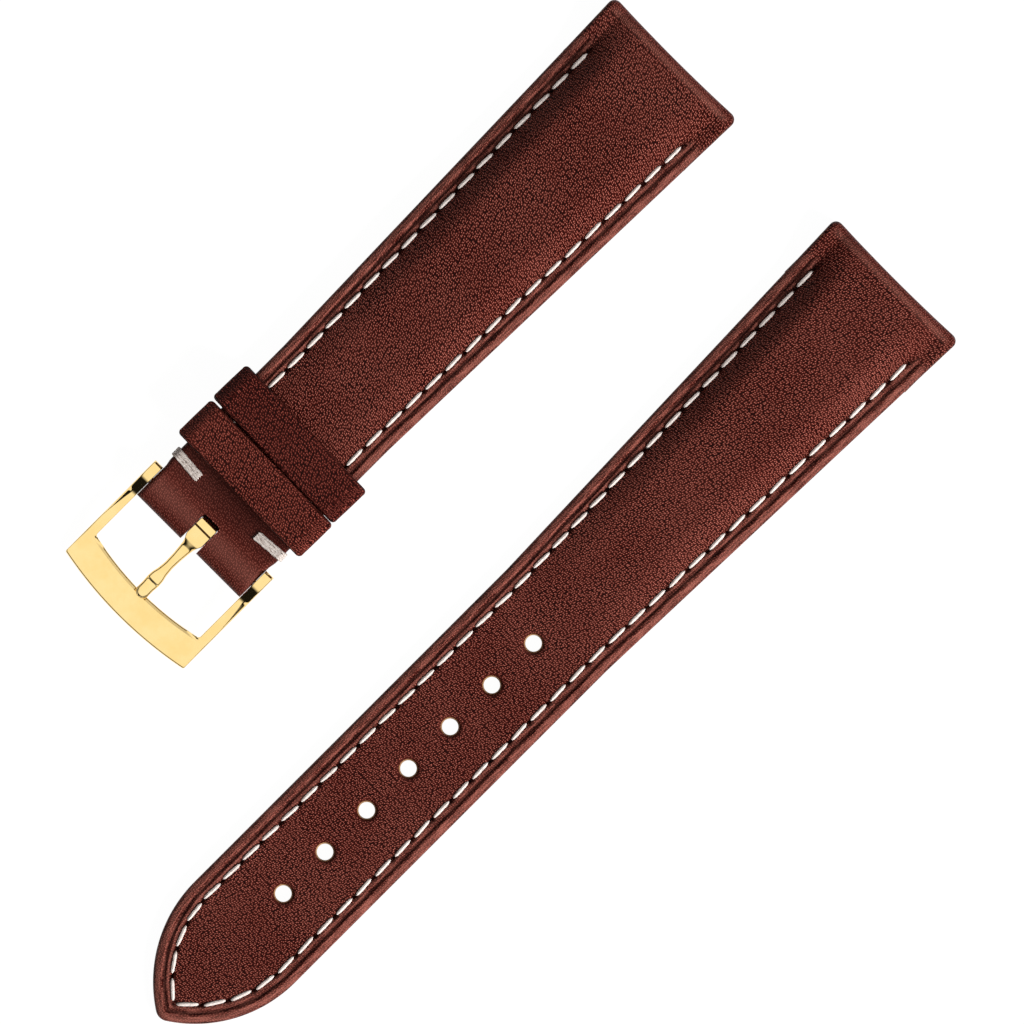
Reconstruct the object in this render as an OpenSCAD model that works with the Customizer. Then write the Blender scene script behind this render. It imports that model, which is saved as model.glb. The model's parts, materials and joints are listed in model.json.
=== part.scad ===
// Leather watch strap in two halves: a tail half with a pointed tip and seven holes, and a buckle
// half with a fold, a pin buckle on a spring bar, a fixed keeper and a free keeper.
// The halves lie side by side, X runs along them to the lug ends, and the underside is at Z = 0.

/* [Halves] */
// Length of the tail half, from its tip to its lug end
tail_len = 115; // [105:1:125]
// Length of the buckle half, from its fold to its lug end
head_len = 76; // [72:1:85]
// Width of both halves at the lug end
lug_w = 19.2; // [18.6:0.1:20]
// Width of the tail half along its holes
tail_w = 15.7; // [14.5:0.1:15.8]
// Width of the buckle half at its keepers
head_w = 16.3; // [16:0.1:16.6]
// Distance between the centre lines of the two halves as they lie
pair_pitch = 34.5; // [30:0.5:40]
// Length of each half, from the lug end, over which it widens
taper_len = 53; // [45:1:56]

/* [Tail tip and holes] */
// Radius of the long side arcs of the pointed tip
tip_arc_r = 15.6; // [15:0.1:17]
// Radius of the rounded point of the tip
tip_nose_r = 1.4; // [1:0.1:2]
// Number of adjustment holes
hole_count = 7; // [5:1:7]
// Distance between two holes
hole_pitch = 6.5; // [5.5:0.5:7]
// Radius of an adjustment hole
hole_r = 1; // [0.9:0.05:1.1]
// Distance of the first hole from the tip
hole_first = 19.3; // [17:0.1:21]
// Width and depth of the soft rim of a hole
hole_rim = 0.2; // [0.1:0.05:0.3]

/* [Leather thickness] */
// Thickness of the flat stretch and of the sewn margins
edge_t = 1.9; // [1.8:0.1:2.2]
// Thickness at the lug end, over the padding
lug_t = 4.3; // [4.1:0.1:4.8]
// Thickness of the sewn margins at the lug end
lug_edge_t = 3.65; // [3.6:0.05:3.9]
// Thickness of the buckle half under its keepers
head_t = 2.4; // [2.2:0.1:2.5]
// Thickness of the folded leather behind the buckle
fold_t = 2.6; // [2.5:0.1:2.8]
// Thickness of the eye that the fold makes round the spring bar
eye_t = 3.2; // [3:0.1:3.4]
// Thickness of the face leather
face_t = 0.8; // [0.7:0.05:0.85]
// Thickness of the lining leather
lining_t = 0.65; // [0.5:0.05:0.7]
// Thickness of the stiffener between lining and padding
stiffener_t = 0.42; // [0.3:0.02:0.45]
// Gap of a glue line between two layers
glue = 0.02; // [0.01:0.01:0.03]

/* [Edge and sewing] */
// Radius of the turned top edge
edge_r = 0.6; // [0.4:0.05:0.7]
// Height of the soft bottom edge
foot_r = 0.3; // [0.2:0.05:0.4]
// Distance of the creased bead from the edge
bead_in = 0.85; // [0.8:0.05:1]
// Height of the bead
bead_h = 0.04; // [0.02:0.01:0.06]
// Distance of the crease from the edge
crease_in = 1.18; // [1.1:0.02:1.3]
// Depth of the crease
crease_h = 0.07; // [0.04:0.01:0.1]
// Distance of the stitching from the edge
stitch_in = 2.1; // [2:0.05:2.4]
// Half the width of the groove that the stitching lies in
groove_half = 0.4; // [0.35:0.05:0.5]
// Depth of the stitching groove
groove_h = 0.17; // [0.1:0.01:0.2]
// Pitch of the stitches
stitch_pitch = 3.05; // [2.6:0.05:3.4]
// Gap between two stitches, where the thread goes down its hole
stitch_gap = 0.8; // [0.6:0.1:1]
// Radius of the sewing thread on the face
thread_r = 0.2; // [0.15:0.01:0.22]
// Radius of the sewing thread on the lining
lining_thread_r = 0.12; // [0.1:0.01:0.13]
// Distance of the first stitch from the lug end of the tail half
tail_sew_start = 5.7; // [5:0.1:7]
// Distance of the first stitch from the lug end of the buckle half
head_sew_start = 6.3; // [5:0.1:7]
// Width across which the padded crown rises, inside the stitching
dome_w = 3.6; // [3:0.1:4]

/* [Lug loop] */
// Radius of the bore for the watch's own spring bar
lug_bore_r = 0.9; // [0.8:0.05:1]
// Wall of the rolled loop round that bore
lug_loop_wall = 0.35; // [0.3:0.05:0.4]
// Distance of the bore from the lug end
lug_bore_in = 2.2; // [2.15:0.05:2.6]
// Length of the flat strip that holds the loop between the layers
lug_strip_len = 6; // [5:0.5:8]
// Depth of the hollow in the lug end's outline
lug_dip = 0.2; // [0.1:0.05:0.3]
// Radius of the lug end's corners in plan
lug_corner_r = 0.6; // [0.4:0.05:0.8]
// Radius of the rolled-over top edge of the lug end
lug_roll_r = 1.2; // [0.9:0.05:1.3]

/* [Keepers] */
// Length of a keeper along the strap
keeper_len = 5.2; // [4.5:0.1:5.3]
// Outer width of a keeper
keeper_w = 19.3; // [19.1:0.1:19.8]
// Wall of a keeper, with its lining
keeper_wall = 1; // [0.9:0.05:1.1]
// Thickness of a keeper's lining
keeper_lining_t = 0.35; // [0.3:0.05:0.4]
// Inner height of a keeper
keeper_room = 4.9; // [4.7:0.1:5.4]
// Distance of the fixed keeper's middle from the spring bar
fixed_keeper_at = 8.2; // [8:0.1:8.4]
// Distance of the free keeper's middle from the spring bar
free_keeper_at = 13.65; // [13.6:0.05:16]
// Turn of the free keeper on the strap, in degrees
free_keeper_turn = 1.6; // [0:0.1:2]

/* [Buckle] */
// Inner width between the arms of the buckle
buckle_inner_w = 16.07; // [16:0.01:16.2]
// Outer width of the buckle at its arms
buckle_outer_w = 18.4; // [18:0.1:19]
// Distance of the front bar's inner edge from the spring bar, at the arms
bar_in = 8.5; // [8:0.1:9.5]
// Width of the front bar
bar_w = 3.66; // [3:0.1:4.2]
// Bow of the front bar
bar_bow = 0.92; // [0.6:0.02:1.2]
// Tilt of the front bar, down towards its outer edge, in degrees
bar_tilt = 15; // [10:1:16]
// Radius of the round end of an arm
boss_r = 1.6; // [1.5:0.05:1.65]
// Radius of the tongue's rolled collar
collar_r = 1.3; // [1.2:0.05:1.35]
// Width of the tongue's collar
collar_w = 2.3; // [2:0.1:2.3]
// Width of the slot in the fold for the tongue
slot_w = 2.5; // [2.45:0.05:2.8]
// Length of the tongue, from the spring bar to its tip
tongue_len = 10; // [9.8:0.1:10.6]

/* [Spring bar] */
// Radius of the spring bar's barrel
barrel_r = 0.75; // [0.72:0.01:0.76]
// Radius of a plunger's tip
tip_r = 0.4; // [0.35:0.01:0.42]
// Inward travel of a plunger
plunger_travel = 0.9; // [0.85:0.01:0.92]
// Running clearance of a pin in its bore
running = 0.05; // [0.02:0.01:0.08]

/* [Hidden] */

// Overrun of a cut past the faces that it goes through
over = 1;
// Number of sides of a round piece
$fn = 48;

// Places along X
lug_x = tail_len / 2;
tip_x = -tail_len / 2;
fold_x = lug_x - head_len;
// Reach of the fold's round end beyond the spring bar
fold_reach = 2.17;
axis_x = fold_x + fold_reach;
taper_x = lug_x - taper_len;
// Where the padding starts to lift the face
pad_len = 55.5;
pad_x = lug_x - pad_len;

// Places along Y, with the whole pair centred
// Half the reach of the free keeper across the strap, turned as it lies
keeper_plan_r = 0.9;
keeper_reach = (keeper_w / 2 - keeper_plan_r) * cos(free_keeper_turn)
    + (keeper_len / 2 - keeper_plan_r) * sin(free_keeper_turn) + keeper_plan_r;
half_span = (keeper_reach + lug_w / 2 + pair_pitch) / 2;
head_y = half_span - keeper_reach;
tail_y = lug_w / 2 - half_span;

// Heights
keeper_gap = 0.1;
head_under = keeper_wall + keeper_gap;
axis_z = head_under + eye_t / 2;
layers_t = lining_t + stiffener_t + glue;
lug_loop_r = lug_bore_r + lug_loop_wall;
lug_bore_x = lug_x - lug_bore_in;
lug_bore_z = lining_t + glue + lug_loop_r;

// The underside of the buckle half comes down to the table along this stretch
ramp_in = 39.5;
ramp_len = 32;
ramp_x = lug_x - ramp_in;
ramp_end_x = ramp_x + ramp_len;
// Length over which the sewn margin rises at the lug end
lug_rise_len = 9;
// Length over which the lug end's outline is hollow
lug_dip_len = 1.5;
// The face leather turns flat behind the keepers, and swells into the eye
flat_at = 10.8;
flat_len = 3.4;
flat_x = axis_x + flat_at;
swell_len = 3.1;
swell_x = axis_x + swell_len;
// Width of the fold between the arms, and the stretch over which it narrows
fold_gap = 0.18;
fold_w = buckle_inner_w - 2 * fold_gap;
narrow_at = 2.3;
narrow_len = 1;
narrow_x = axis_x + narrow_at;
// Where the turned-under end of the fold meets the lining
fold_end_at = 8.3;
fold_end_x = axis_x + fold_end_at;
fold_rim = 0.3;
// Rise of the crown at the centre line, above the dome
crown_h = 0.12;

function clamp01(t) = min(1, max(0, t));
function smooth(t) = let (c = clamp01(t)) c * c * (3 - 2 * c);
function bump(d, at, half) = abs(d - at) < half ? (1 + cos(180 * (d - at) / half)) / 2 : 0;
function drop(r, u) = u < r ? r - sqrt(r * r - (r - u) * (r - u)) : 0;

// Half the width of a half at a place along X
function half_w(x, head) =
    let (narrow = head ? head_w : tail_w)
    (narrow + (lug_w - narrow) * clamp01((x - taper_x) / (lug_x - taper_x))) / 2
    - (head ? (head_w - fold_w) / 2 * smooth((narrow_x + narrow_len - x) / narrow_len) : 0)
    - drop(lug_corner_r, lug_x - x);

// Height of a half's underside above the table
function under(x, head) = head ? head_under * (1 - smooth((x - ramp_x) / ramp_len)) : 0;

// Thickness at the middle and at the sewn margins
function crown_share(x) = sin(90 * clamp01((x - pad_x) / (lug_x - pad_x)));
function flat_share(x, head) = head ? smooth((flat_x - x) / flat_len) : 0;
function mid_t(x, head) =
    let (thin = head ? head_t : edge_t)
    thin + (lug_t - thin) * crown_share(x) + (fold_t - thin) * flat_share(x, head)
    + (head ? (eye_t - fold_t) * smooth((swell_x - x) / (swell_x - axis_x)) : 0);
function rim_t(x, head) =
    edge_t + (lug_edge_t - edge_t) * smooth((x - lug_x + lug_rise_len) / lug_rise_len)
    + (mid_t(x, head) - edge_t) * flat_share(x, head);

// How far a section has closed towards the round end of the fold
function eye_share(x, head) =
    head && x < axis_x ? sqrt(max(0, 1 - pow((axis_x - x) / fold_reach, 2))) : 1;

// Height of the face at a distance from the edge, and at a share of the way on to the middle
function face_z(d, share, x, head) =
    let (live = 1 - flat_share(x, head), rim = rim_t(x, head), mid = mid_t(x, head),
        soft = live * (1 - smooth((x - lug_x + lug_rise_len) / lug_rise_len) / 2))
    rim - drop(edge_r, d) + soft * (bead_h * bump(d, bead_in, bead_in - edge_r)
        - crease_h * bump(d, crease_in, crease_in - bead_in)
        - groove_h * bump(d, stitch_in, groove_half))
    + (mid - rim) * sin(90 * clamp01((d - stitch_in + groove_half / 2) / dome_w))
    + crown_h * crown_share(x) * (1 - pow(1 - share, 2))
    - drop(lug_roll_r, lug_x - x);

// Height of the face leather's inner side there
function inner_z(d, share, x, head) =
    let (rim = edge_t + (mid_t(x, head) - edge_t) * flat_share(x, head), mid = mid_t(x, head))
    max(layers_t + glue, rim - face_t
        + (mid - rim) * sin(90 * clamp01((d - stitch_in + groove_half / 2) / dome_w))
        + crown_h * crown_share(x) * (1 - pow(1 - share, 2)));

// The tip's outline, at a distance in from the edge
shoulder_x = tip_x + tip_nose_r + sqrt(pow(tip_arc_r - tip_nose_r, 2) - pow(tip_arc_r - tail_w / 2, 2));
tip_arc_y = tail_w / 2 - tip_arc_r;
nose_x = tip_x + tip_nose_r;
function arc_turn(d) = acos(-tip_arc_y / (tip_arc_r - max(d, tip_nose_r)));
function side_arc(d, share) =
    let (turn = arc_turn(d) * (1 - share), r = tip_arc_r - d)
    [shoulder_x - r * sin(turn), share == 0 && d >= tip_nose_r ? 0 : tip_arc_y + r * cos(turn)];
function nose_arc(d, share) =
    let (turn = (90 - arc_turn(0)) * share, r = tip_nose_r - d)
    d >= tip_nose_r ? side_arc(d, 0) : [nose_x - r * cos(turn), r * sin(turn)];

// Kinds of row across a half: on the nose, on the side arcs, across at a place along X,
// along the foot of the end wall at the lug, and along the underside of the fold
NOSE = 0;
SIDE = 1;
ACROSS = 2;
WALL = 3;
LOWER = 4;

function plan_point(row, d, head) =
    row[0] == NOSE ? nose_arc(d, row[1])
    : row[0] == SIDE ? side_arc(d, row[1])
    : [row[1], half_w(row[1], head) - d];

// Rows of the surface: round the tip, round the fold, along the body and over the lug end
nose_shares = [0, 0.5, 1];
side_shares = [0.12, 0.25, 0.38, 0.52, 0.66, 0.82];
eye_turn_shares = [0, 0.18, 0.36, 0.54, 0.74];
swell_shares = [0, 0.35, 0.7];
narrow_shares = [0, 0.33, 0.67, 1];
flat_shares = [0.7, 0.45, 0.2, 0];
body_shares = [0.1, 0.2, 0.3, 0.42, 0.54, 0.66, 0.78, 0.9];
rise_shares = [1, 0.8, 0.62, 0.46, 0.32, 0.2];
roll_shares = [1, 0.75, 0.53, 0.35, 0.2, 0.1, 0.033, 0];
early_x = min(pad_x, taper_x);
late_x = max(pad_x, taper_x);
rise_x = lug_x - lug_rise_len;
lug_stations = concat([early_x, late_x],
    [for (s = body_shares) late_x + s * (rise_x - late_x)],
    [for (s = rise_shares) lug_x - s * lug_rise_len],
    [for (s = roll_shares) lug_x - s * lug_roll_r]);
fold_stations = concat([for (s = eye_turn_shares) axis_x - fold_reach * cos(90 * s)],
    [for (s = swell_shares) axis_x + s * (narrow_x - axis_x)],
    [for (s = narrow_shares) narrow_x + s * narrow_len], [fold_end_x]);
flat_stations = [for (s = flat_shares) flat_x - s * flat_len];
tail_rows = concat([for (s = nose_shares) [NOSE, s]], [for (s = side_shares) [SIDE, s]],
    [for (x = concat([shoulder_x], lug_stations)) [ACROSS, x]], [[WALL, lug_x]]);
head_rows = concat([for (i = [len(fold_stations) - 1:-1:0]) [LOWER, fold_stations[i]]],
    [for (x = concat(fold_stations, flat_stations)) [ACROSS, x]],
    [for (x = lug_stations) if (x > flat_x) [ACROSS, x]], [[WALL, lug_x]]);
// The first row of the buckle half whose side edge is open to the layers inside
head_open_row = 2 * len(fold_stations) - 1;

// Columns of the surface: up the side wall, over the sewn margin and the dome, on to the middle
wall_cols = [[foot_r, 0], [foot_r / 4, foot_r / 3], [0, foot_r]];
edge_shares = [0, 0.12, 0.45];
groove_shares = [-1, -0.5, 0, 0.5, 1];
dome_shares = [0.22, 0.45, 0.7, 1];
face_ds = concat([for (s = edge_shares) s * edge_r], [bead_in, crease_in],
    [for (s = groove_shares) stitch_in + s * groove_half],
    [for (s = dome_shares) stitch_in - groove_half / 2 + s * dome_w]);
spine_shares = [0.5, 1];
last_d = face_ds[len(face_ds) - 1];
n_wall = len(wall_cols);
n_face = n_wall + len(face_ds);
n_cols = n_face + len(spine_shares);
function col_d(c) = c < n_wall ? wall_cols[c][0] : c < n_face ? face_ds[c - n_wall] : last_d;
function col_share(c) = c < n_face ? 0 : spine_shares[c - n_face];

// A point of the face leather's outside, and the one of its inside at the same row and column
function outer_point(row, c, head) =
    let (foot = row[0] > ACROSS || row[1] == fold_stations[0], share = col_share(c),
        p = plan_point(row, foot ? max(col_d(c), foot_r) : col_d(c), head),
        half = half_w(p.x, head), y = p.y * (1 - share), eye = eye_share(p.x, head),
        z = foot ? 0 : c < n_wall ? wall_cols[c][1] : face_z(col_d(c), share, p.x, head),
        dip = lug_dip * (1 - pow(y / half, 2)) * clamp01(1 - (lug_x - p.x) / lug_dip_len))
    [p.x - dip, y, under(p.x, head) + eye_t / 2 * (1 - eye) + z * eye];
function inner_point(row, c, head) =
    let (share = col_share(c), d = max(face_t, c < n_wall ? 0 : col_d(c)),
        raw = plan_point(row, d, head), low = head ? fold_end_x + fold_rim : raw.x,
        x = min(max(raw.x, low), lug_x - face_t), y = row[0] < ACROSS ? raw.y : half_w(x, head) - d,
        z = row[0] > ACROSS || c < n_wall ? 0 : inner_z(d, share, x, head))
    [x, y * (1 - share), under(x, head) + z];

// A whole row: the +Y side, the middle, and the -Y side
function mirrored(side) = concat(side,
    [for (i = [len(side) - 2:-1:0]) [side[i].x, -side[i].y, side[i].z]]);
function outer_row(row, head) = mirrored([for (c = [0:n_cols - 1]) outer_point(row, c, head)]);
function inner_row(row, head) = mirrored([for (c = [0:n_cols - 1]) inner_point(row, c, head)]);

// Triangles of a four-sided patch, without those that have lost a side
function flat_tri(pts, t) =
    norm(pts[t[0]] - pts[t[1]]) < tiny || norm(pts[t[1]] - pts[t[2]]) < tiny
    || norm(pts[t[2]] - pts[t[0]]) < tiny;
function patch(pts, a, b, c, d) = [for (t = [[a, b, c], [a, c, d]]) if (!flat_tri(pts, t)) t];
// Two points nearer than this are one
tiny_share = 0.0002;
tiny = running * tiny_share;

// A closed shell between two grids of points, with a wall along the last row, along both sides
// from open_row on, and along the first row if it is open too
module shell(outer, inner, open_row, first) {
    rows = len(outer);
    cols = len(outer[0]);
    pts = concat([for (r = outer) each r], [for (r = inner) each r]);
    base = rows * cols;
    last = rows - 1;
    faces = concat(
        [for (r = [0:rows - 2], c = [0:cols - 2]) each patch(pts, r * cols + c,
            r * cols + c + 1, (r + 1) * cols + c + 1, (r + 1) * cols + c)],
        [for (r = [0:rows - 2], c = [0:cols - 2]) each patch(pts, base + r * cols + c,
            base + (r + 1) * cols + c, base + (r + 1) * cols + c + 1, base + r * cols + c + 1)],
        [for (r = [open_row:rows - 2]) each patch(pts, r * cols, (r + 1) * cols,
            base + (r + 1) * cols, base + r * cols)],
        [for (r = [open_row:rows - 2]) each patch(pts, r * cols + cols - 1,
            base + r * cols + cols - 1, base + (r + 1) * cols + cols - 1,
            (r + 1) * cols + cols - 1)],
        [for (c = [0:cols - 2]) each patch(pts, last * cols + c, last * cols + c + 1,
            base + last * cols + c + 1, base + last * cols + c)],
        first ? [for (c = [0:cols - 2]) each patch(pts, c + 1, c, base + c, base + c + 1)] : []);
    polyhedron(pts, faces, convexity = 6);
}

// Sizes that belong to one half or the other
function y_of(head) = head ? head_y : tail_y;

// Holes through the tail half's layers
module holes(r, rim) {
    for (i = [0:hole_count - 1]) translate([tip_x + hole_first + i * hole_pitch, 0, 0]) {
        translate([0, 0, -over]) cylinder(h = edge_t + 2 * over, r = r);
        if (rim > 0) translate([0, 0, edge_t - rim]) cylinder(h = rim + glue, r1 = r, r2 = r + rim);
    }
}

// Room for the lug loop, right across a half
module lug_room() {
    translate([lug_bore_x, 0, lug_bore_z]) rotate([90, 0, 0])
        cylinder(h = lug_w + 2 * over, r = lug_loop_r + glue, center = true);
}

module tail_face_leather() {
    color("#6b3529") translate([0, tail_y, 0]) difference() {
        shell([for (row = tail_rows) outer_row(row, false)],
            [for (row = tail_rows) inner_row(row, false)], 0, false);
        holes(hole_r, hole_rim);
        lug_room();
    }
}

// The face leather of the buckle half runs on round the spring bar and back under itself
module head_face_leather() {
    color("#6b3529") translate([0, head_y, 0]) difference() {
        shell([for (row = head_rows) outer_row(row, true)],
            [for (row = head_rows) inner_row(row, true)], head_open_row, true);
        translate([axis_x, 0, axis_z]) rotate([90, 0, 0])
            cylinder(h = head_w + 2 * over, r = barrel_r + 2 * running, center = true);
        translate([axis_x - fold_reach - over, -slot_w / 2, -over])
            cube([fold_reach + over + collar_r + fold_rim, slot_w, eye_t + head_under + 2 * over]);
        lug_room();
    }
}

// Padding under the crown, between the stiffener and the face leather, with the leather's own rows
// and columns so that it fills the room under it
pad_ds = [for (s = dome_shares) stitch_in - groove_half / 2 + s * dome_w];
pad_gap = 0.3;
pad_end_x = lug_bore_x - lug_loop_r - pad_gap;
pad_thin = 0.14;
function pad_start_x(head) = head ? flat_x + fold_rim
    : pad_x + pad_len * asin(pad_thin / (lug_t - edge_t)) / 90 + face_t;
function pad_xs(head) = concat([pad_start_x(head)], [for (x = lug_stations)
    if (x > pad_start_x(head) + pad_gap && x < pad_end_x - pad_gap) x], [pad_end_x]);
function pad_side(x, head, top) = concat(
    [for (d = pad_ds) [x, half_w(x, head) - d, pad_z(d, 0, x, head, top)]],
    [for (s = spine_shares) [x, (half_w(x, head) - last_d) * (1 - s), pad_z(last_d, s, x, head, top)]]);
function pad_z(d, share, x, head, top) =
    under(x, head) + (top ? inner_z(d, share, x, head) - glue : layers_t + glue);
function pad_grid(head, top) = [for (x = pad_xs(head)) mirrored(pad_side(x, head, top))];

module padding(head) {
    translate([0, y_of(head), 0]) shell(pad_grid(head, true), pad_grid(head, false), 0, true);
}

module tail_padding() { color("#d9cdb4") padding(false); }
module head_padding() { color("#d9cdb4") padding(true); }

// Outline of a half at a distance in from the edge, from one place along X to another
function outline_side(d, head, x0, x1) = concat(
    head ? [] : concat(d < tip_nose_r ? [for (s = nose_shares) nose_arc(d, s)] : [side_arc(d, 0)],
        [for (s = side_shares) side_arc(d, s)], [[shoulder_x, tail_w / 2 - d]]),
    [for (x = concat(head ? [x0] : [], [for (x = lug_stations) if (x < x1 && (!head || x > x0)) x],
        [x1])) [x, half_w(x, head) - d]]);
module outline(d, head, x0, x1) {
    side = outline_side(d, head, x0, x1);
    polygon(concat(side, [for (i = [len(side) - 1:-1:0])
        if (side[i].y > tiny) [side[i].x, -side[i].y]]));
}

// Band of constant thickness that follows a half's underside, seen from the side
function band_xs(head) = head ? concat([fold_x, ramp_x], [for (x = lug_stations)
    if (x > ramp_x + pad_gap && x < ramp_end_x - pad_gap) x], [ramp_end_x, lug_x]) : [tip_x, lug_x];
module band(head, z0, z1) {
    xs = band_xs(head);
    rotate([90, 0, 0]) linear_extrude(lug_w + 2 * over, center = true)
        polygon(concat([for (x = xs) [x, under(x, head) + z0]],
            [for (i = [len(xs) - 1:-1:0]) [xs[i], under(xs[i], head) + z1]]));
}
module layer(head, d, x0, x1, z0, z1) {
    intersection() {
        translate([0, 0, -over]) linear_extrude(lug_t + 2 * over) outline(d, head, x0, x1);
        band(head, z0, z1);
    }
}

// Channel in the lining for the thread on the underside
channel_h = 0.3;
channel_half = 0.22;
module channel(head, x0, x1) {
    intersection() {
        translate([0, 0, -over]) linear_extrude(lug_t + 2 * over) difference() {
            outline(stitch_in - channel_half, head, x0, x1);
            outline(stitch_in + channel_half, head, x0 - over, x1 + over);
        }
        band(head, -over, channel_h);
    }
}

layer_end_x = lug_x - face_t - glue;
layer_start_x = fold_end_x + fold_rim + glue;
sew_end_x = fold_end_x + fold_rim + stitch_pitch / 2;
function sew_start(head) = lug_x - (head ? head_sew_start : tail_sew_start);
module lining(head) {
    difference() {
        layer(head, face_t + glue, layer_start_x, layer_end_x, 0, lining_t);
        channel(head, sew_end_x - stitch_gap, sew_start(head) + stitch_gap);
        if (!head) holes(hole_r, 0);
    }
}
module tail_lining() { color("#b98a63") translate([0, tail_y, 0]) lining(false); }
module head_lining() { color("#b98a63") translate([0, head_y, 0]) lining(true); }

strip_end_x = lug_bore_x - lug_strip_len;
module stiffener(head) {
    difference() {
        layer(head, face_t + glue, layer_start_x, strip_end_x - glue, lining_t + glue, layers_t);
        if (!head) holes(hole_r, 0);
    }
}
module tail_stiffener() { color("#cfc4ae") translate([0, tail_y, 0]) stiffener(false); }
module head_stiffener() { color("#cfc4ae") translate([0, head_y, 0]) stiffener(true); }

// Rolled loop of reinforcing leather whose flat strip lies between lining and padding
module lug_loop(head) {
    strip_w = lug_w - 2 * (face_t + lug_corner_r);
    translate([lug_bore_x, y_of(head), lug_bore_z]) difference() {
        union() {
            rotate([90, 0, 0]) cylinder(h = lug_w - 2 * lug_dip, r = lug_loop_r, center = true);
            translate([-lug_strip_len, -strip_w / 2, -lug_loop_r])
                cube([lug_strip_len, strip_w, stiffener_t]);
        }
        rotate([90, 0, 0]) cylinder(h = lug_w + over, r = lug_bore_r, center = true);
    }
}
module tail_lug_loop() { color("#a8754f") lug_loop(false); }
module head_lug_loop() { color("#a8754f") lug_loop(true); }

// One stitch: a short run of thread, narrow where it goes down its holes
thread_end_share = 0.45;
module stitch(p, q, r) {
    v = q - p;
    run = norm(v);
    translate(p) rotate([0, acos(v.z / run), atan2(v.y, v.x)]) rotate_extrude($fn = 16)
        polygon([[0, 0], [r * thread_end_share, 0], [r, r], [r, run - r],
            [r * thread_end_share, run], [0, run]]);
}

// Place on the sewing line of a half at a length along it from its start at the lug end
function sew_straight(head) = head ? sew_start(true) - sew_end_x : sew_start(false) - shoulder_x;
function sew_len(head) = sew_straight(head)
    + (head ? 0 : (tip_arc_r - stitch_in) * arc_turn(stitch_in) * PI / 180);
function sew_xy(s, head) = s <= sew_straight(head)
    ? let (x = sew_start(head) - s) [x, half_w(x, head) - stitch_in]
    : let (r = tip_arc_r - stitch_in, turn = (s - sew_straight(head)) / r * 180 / PI)
        [shoulder_x - r * sin(turn), tip_arc_y + r * cos(turn)];
thread_lift = 0.03;
// Height at which a round thread lies in the groove, touching the face at one side or the other
rest_shares = [-1, -0.9, -0.7, 0, 0.7, 0.9, 1];
function rest_z(x, head) = max([for (s = rest_shares)
    face_z(stitch_in + s * thread_r, 0, x, head) + thread_r * sqrt(1 - s * s)]);
function sew_point(s, head, face) = let (p = sew_xy(s, head))
    [p.x, p.y, under(p.x, head) + (face ? rest_z(p.x, head) + thread_lift
        : channel_h - thread_lift - lining_thread_r)];

module stitches(head, face) {
    count = round(sew_len(head) / stitch_pitch);
    pitch = sew_len(head) / count;
    for (side = [1, -1], i = [0:count - 1]) translate([0, y_of(head), 0]) scale([1, side, 1])
        stitch(sew_point(i * pitch + stitch_gap / 2, head, face),
            sew_point((i + 1) * pitch - stitch_gap / 2, head, face),
            face ? thread_r : lining_thread_r);
}
module tail_face_thread() { color("#e9e0cf") stitches(false, true); }
module tail_lining_thread() { color("#e9e0cf") stitches(false, false); }
module head_face_thread() { color("#e9e0cf") stitches(true, true); }
module head_lining_thread() { color("#e9e0cf") stitches(true, false); }

// Bar tack: a bundle of thread that wraps round the edge behind the buckle
tack_at = 4.1;
tack_len = 1.35;
tack_in = 3.8;
tack_t = 0.25;
tack_gap = 0.03;
module tack_outline(grow) {
    translate([head_w / 2 - tack_in, head_under - grow])
        square([tack_in + grow - tack_t, fold_t + 2 * grow]);
    translate([head_w / 2 - tack_in, head_under - grow + tack_t])
        square([tack_in + grow, fold_t + 2 * grow - 2 * tack_t]);
    for (z = [head_under - grow + tack_t, head_under + fold_t + grow - tack_t])
        translate([head_w / 2 + grow - tack_t, z]) circle(r = tack_t);
}
module bar_tack() {
    translate([axis_x + tack_at - tack_len / 2, 0, 0]) rotate([90, 0, 90])
        linear_extrude(tack_len) difference() {
            tack_outline(tack_t + tack_gap);
            translate([head_w / 2 - tack_in - over, head_under - tack_gap])
                square([tack_in + over + tack_gap, fold_t + 2 * tack_gap]);
        }
}
module bar_tack_left() { color("#b8aa94") translate([0, head_y, 0]) bar_tack(); }
module bar_tack_right() { color("#b8aa94") translate([0, head_y, 0]) mirror([0, 1, 0]) bar_tack(); }

// A keeper: a band of leather round the strap, crowned along its long edges
keeper_corner_r = 1.7;
keeper_round = 0.45;
keeper_h = keeper_room + 2 * keeper_wall;
module round_rect(w, h, r) {
    square([w - 2 * r, h], center = true);
    square([w, h - 2 * r], center = true);
    for (x = [-1, 1], y = [-1, 1]) translate([x * (w / 2 - r), y * (h / 2 - r)]) circle(r = r);
}
// Rings are drawn about the middle of the keeper, the length along X
module keeper_ring(out, in) {
    rotate([90, 0, 90]) linear_extrude(keeper_len, center = true) difference() {
        round_rect(keeper_w - 2 * out, keeper_h - 2 * out, keeper_corner_r - out);
        round_rect(keeper_w - 2 * in, keeper_h - 2 * in, keeper_corner_r - in);
    }
}
module keeper_leather() {
    intersection() {
        keeper_ring(0, keeper_wall - keeper_lining_t);
        linear_extrude(keeper_h + over, center = true)
            round_rect(keeper_len, keeper_w, keeper_plan_r);
        rotate([90, 0, 0]) linear_extrude(keeper_w + over, center = true)
            round_rect(keeper_len, keeper_h, keeper_round);
    }
}
module keeper_lining() {
    keeper_ring(keeper_wall - keeper_lining_t + glue, keeper_wall);
}
module at_fixed_keeper() { translate([axis_x + fixed_keeper_at, head_y, keeper_h / 2]) children(); }
module at_free_keeper() {
    translate([axis_x + free_keeper_at, head_y, keeper_h / 2]) rotate([0, 0, -free_keeper_turn])
        children();
}
module fixed_keeper() { color("#6b3529") at_fixed_keeper() keeper_leather(); }
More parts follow.
